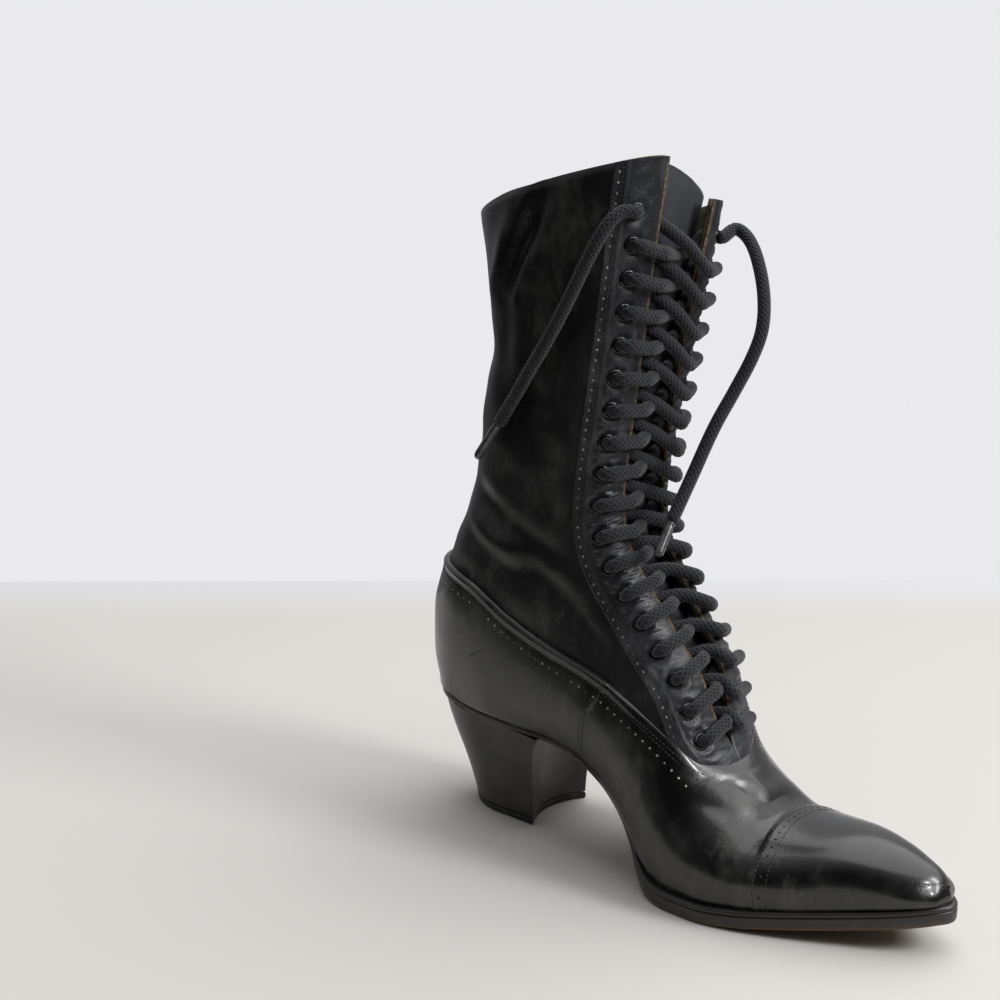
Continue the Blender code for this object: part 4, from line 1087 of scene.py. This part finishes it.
class BOOT_OT_make_golosh(PieceOperator, bpy.types.Operator):
    """Lay the vamp, toe cap and counter over the upper"""
    bl_idname = "boot.make_golosh"
    bl_label = "Golosh"

    def execute(self, context):
        colours = self.colours(context)
        grain = self.sizes(context).grain / MM
        skin = leather("polished_calf_golosh", colours.golosh, colours.scuff, 0.30, grain, 0.65, 0.22, 0.35)
        piece = new_piece("golosh_leather", ["vamp", "counter", "toe_cap"], [skin])
        bm = bmesh.new()
        columns = np.concatenate((np.linspace(0.0, 8.0, 190, endpoint=False),
                                  np.linspace(8.0, 13.6, 130, endpoint=False), np.linspace(13.6, 17.6, 90)))
        part = np.linspace(0.0, 1.0, 56)
        part = 0.45 * part + 0.55 * part ** 2.2
        for side in (-1, 1):
            top = golosh_turns(columns, side)
            turn = top[None, :] + (1 - top[None, :]) * part[:, None]
            s = np.broadcast_to(columns[None, :], turn.shape)
            points, outward = on_golosh(s, side, turn)
            lay_grid(bm, points, outward)
        ease_heel_corner(bm, 12)
        finish_mesh(bm, piece)
        return {"FINISHED"}


def eyestay_lift(side, distance, points):
    """Height of an eyestay over the upper: rolled edges, puckers round the eyelets and cross wrinkles."""
    far = np.sqrt(np.clip(1 - (1 - np.clip((EYESTAY_WIDTH - distance) / 1.2, 0, 1)) ** 2, 0, 1))
    near = np.sqrt(np.clip(1 - (1 - np.clip((distance + 0.3) / 1.0, 0, 1)) ** 2, 0, 1))
    lift = -0.25 + (EYESTAY_LIFT + 0.25) * far * near
    lift = lift + 0.30 * np.exp(-((distance - 18.2) / 0.9) ** 2)
    lift = lift - 0.16 * np.exp(-((distance - 20.9) / 1.3) ** 2)
    inside = smooth(0.5, 3.0, distance) * smooth(0.5, 3.0, 18.0 - distance)
    pucker = np.zeros(points.shape[:-1])
    for eyelet in EYELET_FRAMES[side]:
        ring = np.linalg.norm(points - eyelet[0], axis=-1)
        pucker += 0.55 * np.exp(-((ring - 5.4) / 1.3) ** 2) - 0.35 * np.exp(-(ring / 3.6) ** 2)
    z = points[..., 2]
    wrinkle = 0.14 * np.sin(z * 1.9 + 0.8 * np.sin(distance * 0.6)) + 0.10 * np.sin(z * 3.7 + distance)
    dip = smooth(-0.5, 2.5, golosh_distance(points))
    return (lift + (pucker + wrinkle) * inside) * (1 - dip) - 0.7 * dip


class BOOT_OT_make_eyestays(PieceOperator, bpy.types.Operator):
    """Lay the two strips that carry the eyelets"""
    bl_idname = "boot.make_eyestays"
    bl_label = "Eyestays"

    def execute(self, context):
        colours = self.colours(context)
        skin = leather("rubbed_calf_eyestay", colours.eyestay, linear("#75767a"), 0.38, 0.7, 0.9, 0.5)
        rows = np.linspace(EYESTAY_FOOT, COLLAR, 310)
        distance = np.concatenate(((0.0, 0.45, 0.9, 1.3), np.linspace(1.8, EYESTAY_WIDTH, 44)))
        # The first four columns of faces show the cut edge where they stand clear of the golosh.
        edge_columns = 4.5 / (len(distance) - 1)
        bare_from = (CUT_EDGE_FOOT - EYESTAY_FOOT) / (COLLAR - EYESTAY_FOOT)
        cut = raw_edge("facing_cut_edge", colours.edge, linear("#3b3027"))
        for side, name in ((-1, "medial"), (1, "lateral")):
            piece = new_piece("eyelet_strip_" + name, ["eyestay_" + name], [skin, cut])
            bm = bmesh.new()
            turn = np.array([facing_turns(one, side, distance) for one in rows])
            s = np.broadcast_to(rows[:, None], turn.shape)
            points = last_points(s, side, turn)
            outward = last_normals(s, side, turn)
            lift = eyestay_lift(side, np.broadcast_to(distance, turn.shape), points)
            lay_grid(bm, points + outward * lift[..., None], outward)
            uv = uv_layer(bm)
            for face in bm.faces:
                near_edge = max(loop[uv].uv.x for loop in face.loops) < edge_columns
                if near_edge and min(loop[uv].uv.y for loop in face.loops) > bare_from:
                    face.material_index = 1
            finish_mesh(bm, piece)
        return {"FINISHED"}


class BOOT_OT_make_eyelets(PieceOperator, bpy.types.Operator):
    """Set the enamelled eyelets"""
    bl_idname = "boot.make_eyelets"
    bl_label = "Eyelets"

    def execute(self, context):
        enamel = hard_finish("black_enamel_on_brass", linear("#0c0c0d"), linear("#1d1d1e"), 0.22, 1.5, 0.1)
        names = ["eyelet_%s_%02d" % (side, number)
                 for side in ("medial", "lateral") for number in range(1, EYELETS + 1)]
        piece = new_piece("enamelled_eyelets", names, [enamel])
        bm = bmesh.new()
        for side in (-1, 1):
            for centre, out, way in EYELET_FRAMES[side]:
                verts = [bm.verts.new((radius, 0.0, height)) for radius, height in EYELET_PROFILE]
                edges = [bm.edges.new(pair) for pair in zip(verts, verts[1:])]
                bmesh.ops.spin(bm, geom=verts + edges, cent=(0, 0, 0), axis=(0, 0, 1), angle=2 * math.pi,
                               steps=20, use_merge=True, use_duplicate=False)
                ring = [vert for vert in bm.verts if not vert.tag]
                seat = centre + out * (EYESTAY_LIFT - 0.45)
                bmesh.ops.transform(bm, matrix=turned(seat, out, way, (1, 1, 1)), verts=ring)
                for vert in ring:
                    vert.tag = True
        bmesh.ops.remove_doubles(bm, verts=bm.verts, dist=0.01 * MM)
        bmesh.ops.recalc_face_normals(bm, faces=bm.faces)
        for face in bm.faces:
            face.smooth = True
        bm.to_mesh(piece.data)
        bm.free()
        return {"FINISHED"}


def crossing(side, row):
    """Lace from one eyelet over its own edge and under the other one to the next eyelet up."""
    s, up_s = PLACES[side][row], PLACES[-side][row + 1]
    centre, out, way = EYELET_FRAMES[side][row]
    goal, goal_out, goal_way = EYELET_FRAMES[-side][row + 1]
    over = EYESTAY_LIFT + LACE_RADIUS + 0.35
    under = WALL + LACE_RADIUS + 0.15
    route = [centre + out * 1.5, centre + out * 3.4 + way * 1.6]
    low = 1 - float(smooth(3.5, 7.5, row))
    drops, bulge = ((-0.05, -0.16, -0.22), 0.6) if side < 0 else ((-0.02, -0.04, 0.02), 2.2 + 1.2 * low)
    if side < 0:
        drops = [drop + climb * low for drop, climb in zip(drops, (0.12, 0.32, 0.46))]
    for part, inset in zip(drops, (8.2, 3.6, 0.0)):
        here = s + (up_s - s) * part
        turn = facing_turns(here, side, np.array([inset]))
        rest = over + bulge * (1 - inset / 8.2) * 0.6
        point = on_surface(np.array([here]), side, turn, np.array([rest]))
        route.append(point[0] + way * (bulge if inset == 0 else 0.0))
    here = s + (up_s - s) * (0.10 + 0.34 * low if side < 0 else 0.42)
    edges = [last_points(np.array([here]), one, np.array([0.0]))[0] for one in (side, -side)]
    front = unit(sum(last_normals(np.array([here]), one, np.array([0.03]))[0] for one in (side, -side)))
    height = 2.6 + 1.0 * low if side > 0 else -0.8
    route.append(edges[0] * 0.5 + edges[1] * 0.5 + front * height)
    for part, inset in ((0.66, 0.6), (0.86, 6.0)):
        here = s + (up_s - s) * part
        turn = facing_turns(here, -side, np.array([inset]))
        point = on_surface(np.array([here]), -side, turn, np.array([-under]))
        route.append(point[0])
    route.append(goal - goal_out * (WALL + 1.6) + goal_way * 1.5)
    route.append(goal - goal_out * 0.2)
    return route


class BOOT_OT_make_lace(PieceOperator, bpy.types.Operator):
    """Run the lace crosswise through the eyelets"""
    bl_idname = "boot.make_lace"
    bl_label = "Lace"

    def execute(self, context):
        piece = new_piece("laced_cord", ["lace"], [lace_material(context)])
        bm = bmesh.new()
        holes = np.array([eyelet[0] for side in (-1, 1) for eyelet in EYELET_FRAMES[side]])
        for start in (-1, 1):
            centre, out, way = EYELET_FRAMES[start][0]
            route = [centre - out * 4.2 + way * 9.0, centre - out * 3.6 + way * 3.0, centre - out * 0.2]
            side = start
            for row in range(EYELETS - 1):
                route += crossing(side, row)
                side = -side
            path = curve_through(route, 1.25)
            near = np.min(np.linalg.norm(path[:, None] - holes[None], axis=-1), axis=1)
            lay_tube(bm, path, LACED_RADIUS - 0.8 * np.exp(-(near / 2.8) ** 2), 11)
        finish_mesh(bm, piece, 0.005)
        return {"FINISHED"}


def front_depth(s, side, y):
    """How far back from the throat a section's front lies at a sideways place."""
    edge = section("top_y", s) + side * section("gap", s)
    widest = section("medial_y" if side < 0 else "lateral_y", s)
    part = np.clip((y - edge) / (widest - edge), 0.0, 0.98) ** (1 / section("front", s))
    return section("peak", s) * (1 - np.sqrt(1 - part * part))


def tongue_point(s, across):
    """Front face of the tongue at section s; across runs -1 to 1."""
    over = max(s - COLLAR, 0.0)
    s = min(s, COLLAR)
    half = max(float(section("gap", s)) + TONGUE_LAP, TONGUE_FOOT_HALF)
    narrow = math.sqrt(1 - (over / TONGUE_TIP) ** 2)
    centre = float(section("top_y", s))
    y = centre + across * half
    side = -1 if across < 0 else 1
    top = np.array((float(section("top_x", s)), 0.0, float(section("top_z", s))))
    foot = np.array((float(section("foot_x", s)), 0.0, float(section("foot_z", s))))
    chord = foot - top
    length = np.linalg.norm(chord)
    back = float(front_depth(s, side, y)) * length
    slope = back - float(front_depth(s, side, y - side)) * length
    clear = float(monotone((TONGUE_FOOT, 8.2, 10.0), (0.9, 0.9, 5.0), s))
    back += (WALL + clear) * math.sqrt(1 + min(slope * slope, 1.0))
    back = WALL + clear + (back - WALL - clear) * narrow
    y = centre + across * half * narrow
    point = top + chord / length * back
    rise = -side * float(section("rise", s)) * min(abs(across), 1.0) * narrow * 0.5
    roll = -math.tan(math.radians(float(section("roll", s)))) * (y - centre)
    return np.array((point[0], y, point[2] + rise + roll + over * TONGUE_RISE))


class BOOT_OT_make_tongue(PieceOperator, bpy.types.Operator):
    """Hang the tongue behind the throat"""
    bl_idname = "boot.make_tongue"
    bl_label = "Tongue"

    def execute(self, context):
        colours = self.colours(context)
        skins = [leather("soft_calf_tongue", colours.tongue, linear("#77787c"), 0.46, 0.8, 0.6, 0.3),
                 raw_edge("tongue_cut_edge", linear("#4b4136"), linear("#2a2622"))]
        piece = new_piece("tongue_leather", ["tongue"], skins)
        rounded = COLLAR + (TONGUE_TIP - 0.01) * np.sin(np.linspace(0.05, np.pi / 2, 26))
        steps = np.concatenate((np.linspace(TONGUE_FOOT, COLLAR, 110), rounded))
        across = np.linspace(-1.0, 1.0, 25)
        points = np.array([[tongue_point(s, a) for a in across] for s in steps])
        wave = 0.25 * np.sin(points[..., 2] * 0.25) * np.cos(points[..., 1] * 0.3)
        points[..., 0] -= np.abs(wave)
        outward = np.broadcast_to(np.array((1.0, 0.0, 0.6)), points.shape)
        bm = bmesh.new()
        lay_grid(bm, points, outward)
        finish_mesh(bm, piece)
        wall = piece.modifiers.new("sheet", "SOLIDIFY")
        wall.thickness = TONGUE_SHEET * MM
        wall.offset = -1.0
        wall.material_offset_rim = 1
        return {"FINISHED"}


def plate_loop(table, names, count):
    """A closed outline read from a table, from the heel along the medial edge to the toe and back."""
    xs = table_column(table, names, "x")
    angle = np.linspace(0.0, np.pi, count)
    x = xs[0] + (xs[-1] - xs[0]) * (1 - np.cos(angle)) / 2
    medial = np.stack((x, outline(table, names, "medial_y", x)), -1)
    lateral = np.stack((x, outline(table, names, "lateral_y", x)), -1)
    return np.concatenate((medial, lateral[::-1][1:]))


def inward(loop, inset):
    """An outline moved inward."""
    way = unit(np.gradient(loop, axis=0))
    way[0] = way[-1] = (0.0, -1.0)
    turn = np.stack((-way[:, 1], way[:, 0]), -1)
    return loop + turn * inset


def middle(loop):
    """Each point of an outline brought to the middle line."""
    count = (len(loop) + 1) // 2
    half = (loop[:count, 1] + loop[::-1][:count, 1]) / 2
    y = np.concatenate((half, half[::-1][1:]))
    return np.stack((loop[:, 0], y), -1)


class BOOT_OT_make_insole(PieceOperator, bpy.types.Operator):
    """Lay the lining leather on the sole inside"""
    bl_idname = "boot.make_insole"
    bl_label = "Insole"

    def execute(self, context):
        skin = leather("tan_sock_leather", linear("#7a6040"), linear("#4a3a28"), 0.7, 0.8, 0.8, 0.3)
        piece = new_piece("sock_lining", ["insole"], [skin])
        loop = inward(plate_loop(FEATHER, FEATHER_COLUMNS, 90), INSOLE_CLEARANCE + 0.6)
        loop[:, 0] = np.clip(loop[:, 0], 6.6, 234.5)
        rows = []
        for level, ring in ((0.0, loop), (1.4, loop), (1.9, inward(loop, 0.5)), (2.0, inward(loop, 2.0)),
                            (2.0, middle(loop))):
            rows.append(np.column_stack((ring, feather_z(ring[:, 0]) + level)))
        rows.append(np.column_stack((middle(loop), feather_z(loop[:, 0]))))
        rows.append(rows[0])
        bm = bmesh.new()
        lay_grid(bm, np.array(rows))
        finish_mesh(bm, piece, 0.02, True)
        return {"FINISHED"}


class BOOT_OT_make_sole(PieceOperator, bpy.types.Operator):
    """Build the outsole with its welt line and rubbed under edge"""
    bl_idname = "boot.make_sole"
    bl_label = "Outsole"

    def execute(self, context):
        colours = self.colours(context)
        skin = sole_edge_finish("inked_sole_leather", linear("#302e2d"), colours.sole_wear)
        piece = new_piece("welted_sole", ["outsole"], [skin])
        loop = plate_loop(SOLE, SOLE_COLUMNS, 130)
        rows = []
        for face, inset, rise in SOLE_PROFILE:
            ring = middle(loop) if inset == MIDDLE else inward(loop, inset)
            low, high = sole_bottom(ring[:, 0]), sole_top(ring[:, 0])
            thick = np.minimum((high - low) / SOLE_EDGE, 1.0)
            rows.append(np.column_stack((ring, (high if face == "top" else low) + rise * thick)))
        bm = bmesh.new()
        lay_grid(bm, np.array(rows))
        finish_mesh(bm, piece, 0.02, True)
        piece.data.set_sharp_from_angle(angle=math.radians(70))
        return {"FINISHED"}


def heel_ring(z, grow=0.0):
    """Outline of the heel at a height, from the medial breast corner round the back and across the breast."""
    back, breast, half, hollow = (float(along(HEEL, HEEL_COLUMNS, name, z, "z"))
                                  for name in ("back_x", "breast_x", "half_y", "hollow"))
    back, breast, half = back - grow, breast + grow, half + grow
    wide = back + 1.25 * half
    angle = np.linspace(0.0, np.pi / 2, 26)
    run = np.linspace(breast, wide, 12, endpoint=False)
    x = np.concatenate((run, back + (wide - back) * (1 - np.sin(angle))))
    y = np.concatenate((np.full_like(run, half), half * np.cos(angle)))
    side = np.stack((x, -y), -1)
    other = np.stack((x, y), -1)[::-1][1:]
    part = np.linspace(1.0, -1.0, 22)
    front = np.stack((breast - hollow * (1 - part * part), half * part), -1)[1:]
    return np.concatenate((side, other, front))


def heel_block(piece, levels):
    """Loft a heel piece through its rings and close it."""
    rows = []
    for z, grow, follow in levels:
        ring = heel_ring(z, grow)
        height = sole_bottom(ring[:, 0]) + 0.35 if follow else np.full(len(ring), z)
        rows.append(np.column_stack((ring, height)))
    bm = bmesh.new()
    lay_grid(bm, np.array(rows))
    bmesh.ops.remove_doubles(bm, verts=bm.verts, dist=0.01 * MM)
    bmesh.ops.holes_fill(bm, edges=[edge for edge in bm.edges if edge.is_boundary], sides=400)
    bmesh.ops.triangulate(bm, faces=[face for face in bm.faces if len(face.verts) > 4])
    finish_mesh(bm, piece, 0.01, True)
    piece.data.set_sharp_from_angle(angle=math.radians(38))


class BOOT_OT_make_heel(PieceOperator, bpy.types.Operator):
    """Build the stacked heel and its lift"""
    bl_idname = "boot.make_heel"
    bl_label = "Heel"

    def execute(self, context):
        inked = hard_finish("inked_heel_leather", linear("#292827"), linear("#454340"), 0.34, 12.0, 0.35)
        rubber = hard_finish("black_top_piece_rubber", linear("#1a1a1a"), linear("#3a3936"), 0.5, 3.0, 0.4)
        heel = new_piece("stacked_heel", ["heel"], [inked])
        levels = [(HEEL_LIFT + 0.25, -0.3, False), (HEEL_LIFT + 0.6, 0.0, False)]
        levels += [(z, 0.0, False) for z in np.linspace(4.5, 39.0, 26)] + [(45.0, 0.0, True)]
        heel_block(heel, levels)
        lift = new_piece("rubber_lift", ["heel_lift"], [rubber])
        heel_block(lift, [(0.0, -0.5, False), (0.25, -0.1, False), (0.6, 0.1, False), (2.3, 0.15, False),
                          (2.75, 0.0, False), (HEEL_LIFT, -0.4, False)])
        return {"FINISHED"}


def golosh_rows(side):
    """Double seam and pinholes along the golosh's top edge."""
    s = np.linspace(8.0, 17.3, 260)
    for kind, drop in GOLOSH_ROWS:
        turn = golosh_turns(s, side, drop)
        keep = (turn > 0.0) & (turn < 0.985)
        yield (kind, *on_golosh(s[keep], side, turn[keep]))


def eyestay_rows(side):
    """Seams and pinholes along an eyestay's outer edge, down to the golosh."""
    s = np.linspace(8.5, 23.95, 260)
    for kind, distance in EYESTAY_ROWS:
        turn = np.array([float(facing_turns(one, side, distance)) for one in s])
        points = last_points(s, side, turn)
        outward = last_normals(s, side, turn)
        lift = eyestay_lift(side, np.full_like(s, distance), points)
        keep = golosh_distance(points) < -0.5
        yield kind, (points + outward * lift[:, None])[keep], outward[keep]


def side_seam_rows(side):
    """Double seam behind the edge between vamp and counter."""
    fine = np.linspace(4.0, 14.0, 401)
    for kind, shift in SIDE_SEAM_ROWS:
        made = []
        for turn in np.linspace(0.2, 0.99, 90):
            line = last_points(fine, side, np.full_like(fine, turn))
            hit = np.nonzero(np.diff(np.sign(line[:, 0] - seam_place(line[:, 2]) + shift)))[0]
            if len(hit) and golosh_distance(line[hit[-1]]) > 0.8:
                made.append((fine[hit[-1]], turn))
        s, turn = np.array(made).T
        yield (kind, *on_golosh(s, side, turn))


def cap_rows(side):
    """Double seam and pinholes painted near-black, as painted shade in the holes, along the toe cap's edge.
    """
    fine = np.linspace(3.0, 9.0, 361)
    for kind, shift in CAP_ROWS:
        made = []
        for turn in np.linspace(0.0, 0.94, 120):
            line = last_points(fine, side, np.full_like(fine, turn))
            cut = line[:, 0] - along(CAP_LINE, CAP_COLUMNS, "x", line[:, 2], "z") - shift
            hit = np.nonzero(np.diff(np.sign(cut)))[0]
            if len(hit):
                i = hit[0]
                made.append((fine[i] + (fine[i + 1] - fine[i]) * cut[i] / (cut[i] - cut[i + 1]), turn))
        s, turn = np.array(made).T
        yield (kind, *on_golosh(s, side, turn))


def seam_lines(side):
    """Stitched lines and pinhole rows of one side: kind, points and outward directions."""
    for rows in (golosh_rows, eyestay_rows, side_seam_rows, cap_rows):
        yield from rows(side)


class BOOT_OT_make_stitching(PieceOperator, bpy.types.Operator):
    """Sew the seams and punch the pinholes"""
    bl_idname = "boot.make_stitching"
    bl_label = "Stitching and pinholes"

    def execute(self, context):
        colours = self.colours(context)
        sizes = self.sizes(context)
        thread = raw_edge("waxed_linen_thread", linear("#54534f"), linear("#2b2b2b"))
        bare = raw_edge("bare_leather_in_pinhole", colours.pinhole, linear("#2b2723"))
        sewn = new_piece("seam_thread", [], [thread])
        # The cap's pits are painted near-black: painted shade inside the punched holes.
        deep = raw_edge("shaded_pinhole", linear("#070707"), linear("#3a362f"))
        pierced = new_piece("punched_pinholes", [], [bare, deep])
        stitches, holes = bmesh.new(), bmesh.new()
        for side in (-1, 1):
            for kind, points, outward in seam_lines(side):
                if kind == "stitch":
                    length = sizes.stitch / MM
                    for place, out, way in zip(*spaced(points, outward, length)):
                        bmesh.ops.create_icosphere(stitches, subdivisions=1, radius=1.0,
                                                   matrix=turned(place, out, way, (length * 0.42, 0.27, 0.2)))
                else:
                    for place, out, way in zip(*spaced(points, outward, sizes.pinhole_pitch / MM)):
                        made = bmesh.ops.create_icosphere(holes, subdivisions=1, radius=1.0,
                                                          matrix=turned(place, out, way, (0.62, 0.55, 0.12)))
                        for face in {face for vert in made["verts"] for face in vert.link_faces}:
                            face.material_index = 1 if kind == "pit" else 0
        for bm, piece in ((stitches, sewn), (holes, pierced)):
            for face in bm.faces:
                face.smooth = True
            bm.to_mesh(piece.data)
            bm.free()
        return {"FINISHED"}


def place_camera(scene):
    """Set the camera where the lens stood."""
    azimuth, rise, roll = (math.radians(angle) for angle in (CAMERA_AZIMUTH, CAMERA_RISE, CAMERA_ROLL))
    level = Vector((math.cos(azimuth), math.sin(azimuth), 0.0))
    back = Vector((math.sin(azimuth) * math.cos(rise), -math.cos(azimuth) * math.cos(rise), math.sin(rise)))
    lifted = back.cross(level)
    right = level * math.cos(roll) + lifted * math.sin(roll)
    up = lifted * math.cos(roll) - level * math.sin(roll)
    lens = bpy.data.cameras.new("camera")
    lens.lens = CAMERA_LENS
    lens.sensor_width = 36.0
    lens.clip_start = 0.01
    camera = bpy.data.objects.new("camera", lens)
    scene.collection.objects.link(camera)
    camera.rotation_euler = Matrix((right, up, back)).transposed().to_euler()
    camera.location = to_frame(CAMERA_EYE)
    scene.camera = camera


def lay_floor(scene, colour):
    """Lay a pale floor as wide as the view, its far end painted lighter as the brighter light toward the
    backdrop; lengths in metres.
    """
    azimuth = math.radians(CAMERA_AZIMUTH)
    inward_way = (-math.sin(azimuth), math.cos(azimuth), 0.0)
    cloth, tree, shader, place = start_material(
        "pale_cotton_floor", {"Roughness": 0.9, "Specular IOR Level": 0.2})
    # Painted light: the far end of the floor is painted lighter, standing for the brighter light toward the
    # backdrop.
    far = ramp(tree, depth_along(tree, place, inward_way), 0.30, 0.36, 0.0, 1.0)
    dress(tree, shader, {"Base Color": mixed(tree, far, colour, linear("#dcdcdf"))})
    floor = bpy.data.objects.new("floor", bpy.data.meshes.new("floor"))
    scene.collection.objects.link(floor)
    bm = bmesh.new()
    bmesh.ops.create_grid(bm, x_segments=6, y_segments=12, size=0.5)
    for vert in bm.verts:
        deep = FLOOR_NEAR + FLOOR_DEPTH * (vert.co.y + 0.5)
        reach = 0.30 * (deep + 0.69) + 0.10 if vert.co.x < 0 else 0.36 * (deep + 0.72) + 0.14
        wide = 2 * vert.co.x * reach
        vert.co = (wide * math.cos(azimuth) - deep * math.sin(azimuth),
                   wide * math.sin(azimuth) + deep * math.cos(azimuth), 0.0)
    bm.to_mesh(floor.data)
    bm.free()
    floor.data.materials.append(cloth)


def light_room(scene):
    """A room that is bright behind the boot and dim before it, seen as a plain pale wall."""
    azimuth = math.radians(CAMERA_AZIMUTH)
    world = bpy.data.worlds.new("studio")
    world.use_nodes = True
    room = world.node_tree
    sky = room.nodes["Background"]
    toward = add(room, "ShaderNodeTexCoord").outputs["Generated"]
    bright_way = (-0.62 * math.sin(azimuth), 0.62 * math.cos(azimuth), 0.75)
    bright = ramp(room, depth_along(room, toward, bright_way), 0.1, 0.85, 0.0, 1.0)
    wall = mixed(room, bright, linear("#26272a"), linear("#f2f3f6"))
    seen = add(room, "ShaderNodeLightPath").outputs["Is Camera Ray"]
    shown = add(room, "ShaderNodeMix", {0: seen, 6: wall, 7: (1.33, 1.33, 1.365, 1.0)}, data_type="RGBA")
    room.links.new(shown.outputs[2], sky.inputs["Color"])
    sky.inputs["Strength"].default_value = 0.62
    scene.world = world


def aim(scene, name, data, place, way):
    """Hang a light at a place, shining along a direction."""
    lamp = bpy.data.objects.new(name, data)
    scene.collection.objects.link(lamp)
    lamp.location = place
    lamp.rotation_euler = Vector(way).to_track_quat("-Z", "Y").to_euler()
    return lamp


def hang_lights(scene):
    """Soft light from above, a window ahead, a weak fill and a small spark for the toe."""
    sun = bpy.data.lights.new("ceiling_bounce", "SUN")
    sun.energy = 2.0
    sun.angle = math.radians(75)
    aim(scene, "ceiling_bounce", sun, (0.0, 0.0, 0.0), (-0.15, -0.45, -1.0))
    for name, place, target, width, height, power in LAMPS:
        data = bpy.data.lights.new(name, "AREA")
        data.shape = "RECTANGLE"
        data.size = width
        data.size_y = height
        data.energy = power
        lamp = aim(scene, name, data, place, Vector(target) - Vector(place))
        lamp.visible_diffuse = name != "toe_spark"


class BOOT_OT_set_stage(PieceOperator, bpy.types.Operator):
    """Lay the floor and set the lights and the camera"""
    bl_idname = "boot.set_stage"
    bl_label = "Stage"

    def execute(self, context):
        place_camera(context.scene)
        lay_floor(context.scene, self.colours(context).floor)
        light_room(context.scene)
        hang_lights(context.scene)
        context.scene.view_settings.view_transform = "Standard"
        return {"FINISHED"}


class BOOT_PT_pieces(bpy.types.Panel):
    """Lists the boot's pieces"""
    bl_idname = "BOOT_PT_pieces"
    bl_label = "Lace-up boot"
    bl_space_type = "VIEW_3D"
    bl_region_type = "UI"
    bl_category = "Boot"

    def draw(self, context):
        for name in BootColours.__annotations__:
            self.layout.prop(context.scene.boot_colours, name)
        for name in BootSizes.__annotations__:
            self.layout.prop(context.scene.boot_sizes, name)
        for operator in OPERATORS:
            self.layout.operator(operator.bl_idname)


OPERATORS = (BOOT_OT_set_stage, BOOT_OT_make_lace_ends, BOOT_OT_make_upper, BOOT_OT_make_golosh,
             BOOT_OT_make_eyestays, BOOT_OT_make_eyelets, BOOT_OT_make_lace, BOOT_OT_make_tongue,
             BOOT_OT_make_insole, BOOT_OT_make_sole, BOOT_OT_make_heel, BOOT_OT_make_stitching)
CLASSES = (BootColours, BootSizes) + OPERATORS + (BOOT_PT_pieces,)


def register():
    """Register the classes and hang the settings on the scene."""
    for cls in CLASSES:
        bpy.utils.register_class(cls)
    bpy.types.Scene.boot_colours = bpy.props.PointerProperty(type=BootColours)
    bpy.types.Scene.boot_sizes = bpy.props.PointerProperty(type=BootSizes)


def unregister():
    """Take the settings and classes away again."""
    del bpy.types.Scene.boot_sizes
    del bpy.types.Scene.boot_colours
    for cls in reversed(CLASSES):
        bpy.utils.unregister_class(cls)


def main():
    """Build every piece in order."""
    register()
    for operator in OPERATORS:
        group, name = operator.bl_idname.split(".")
        getattr(getattr(bpy.ops, group), name)()


if __name__ == "__main__":
    main()
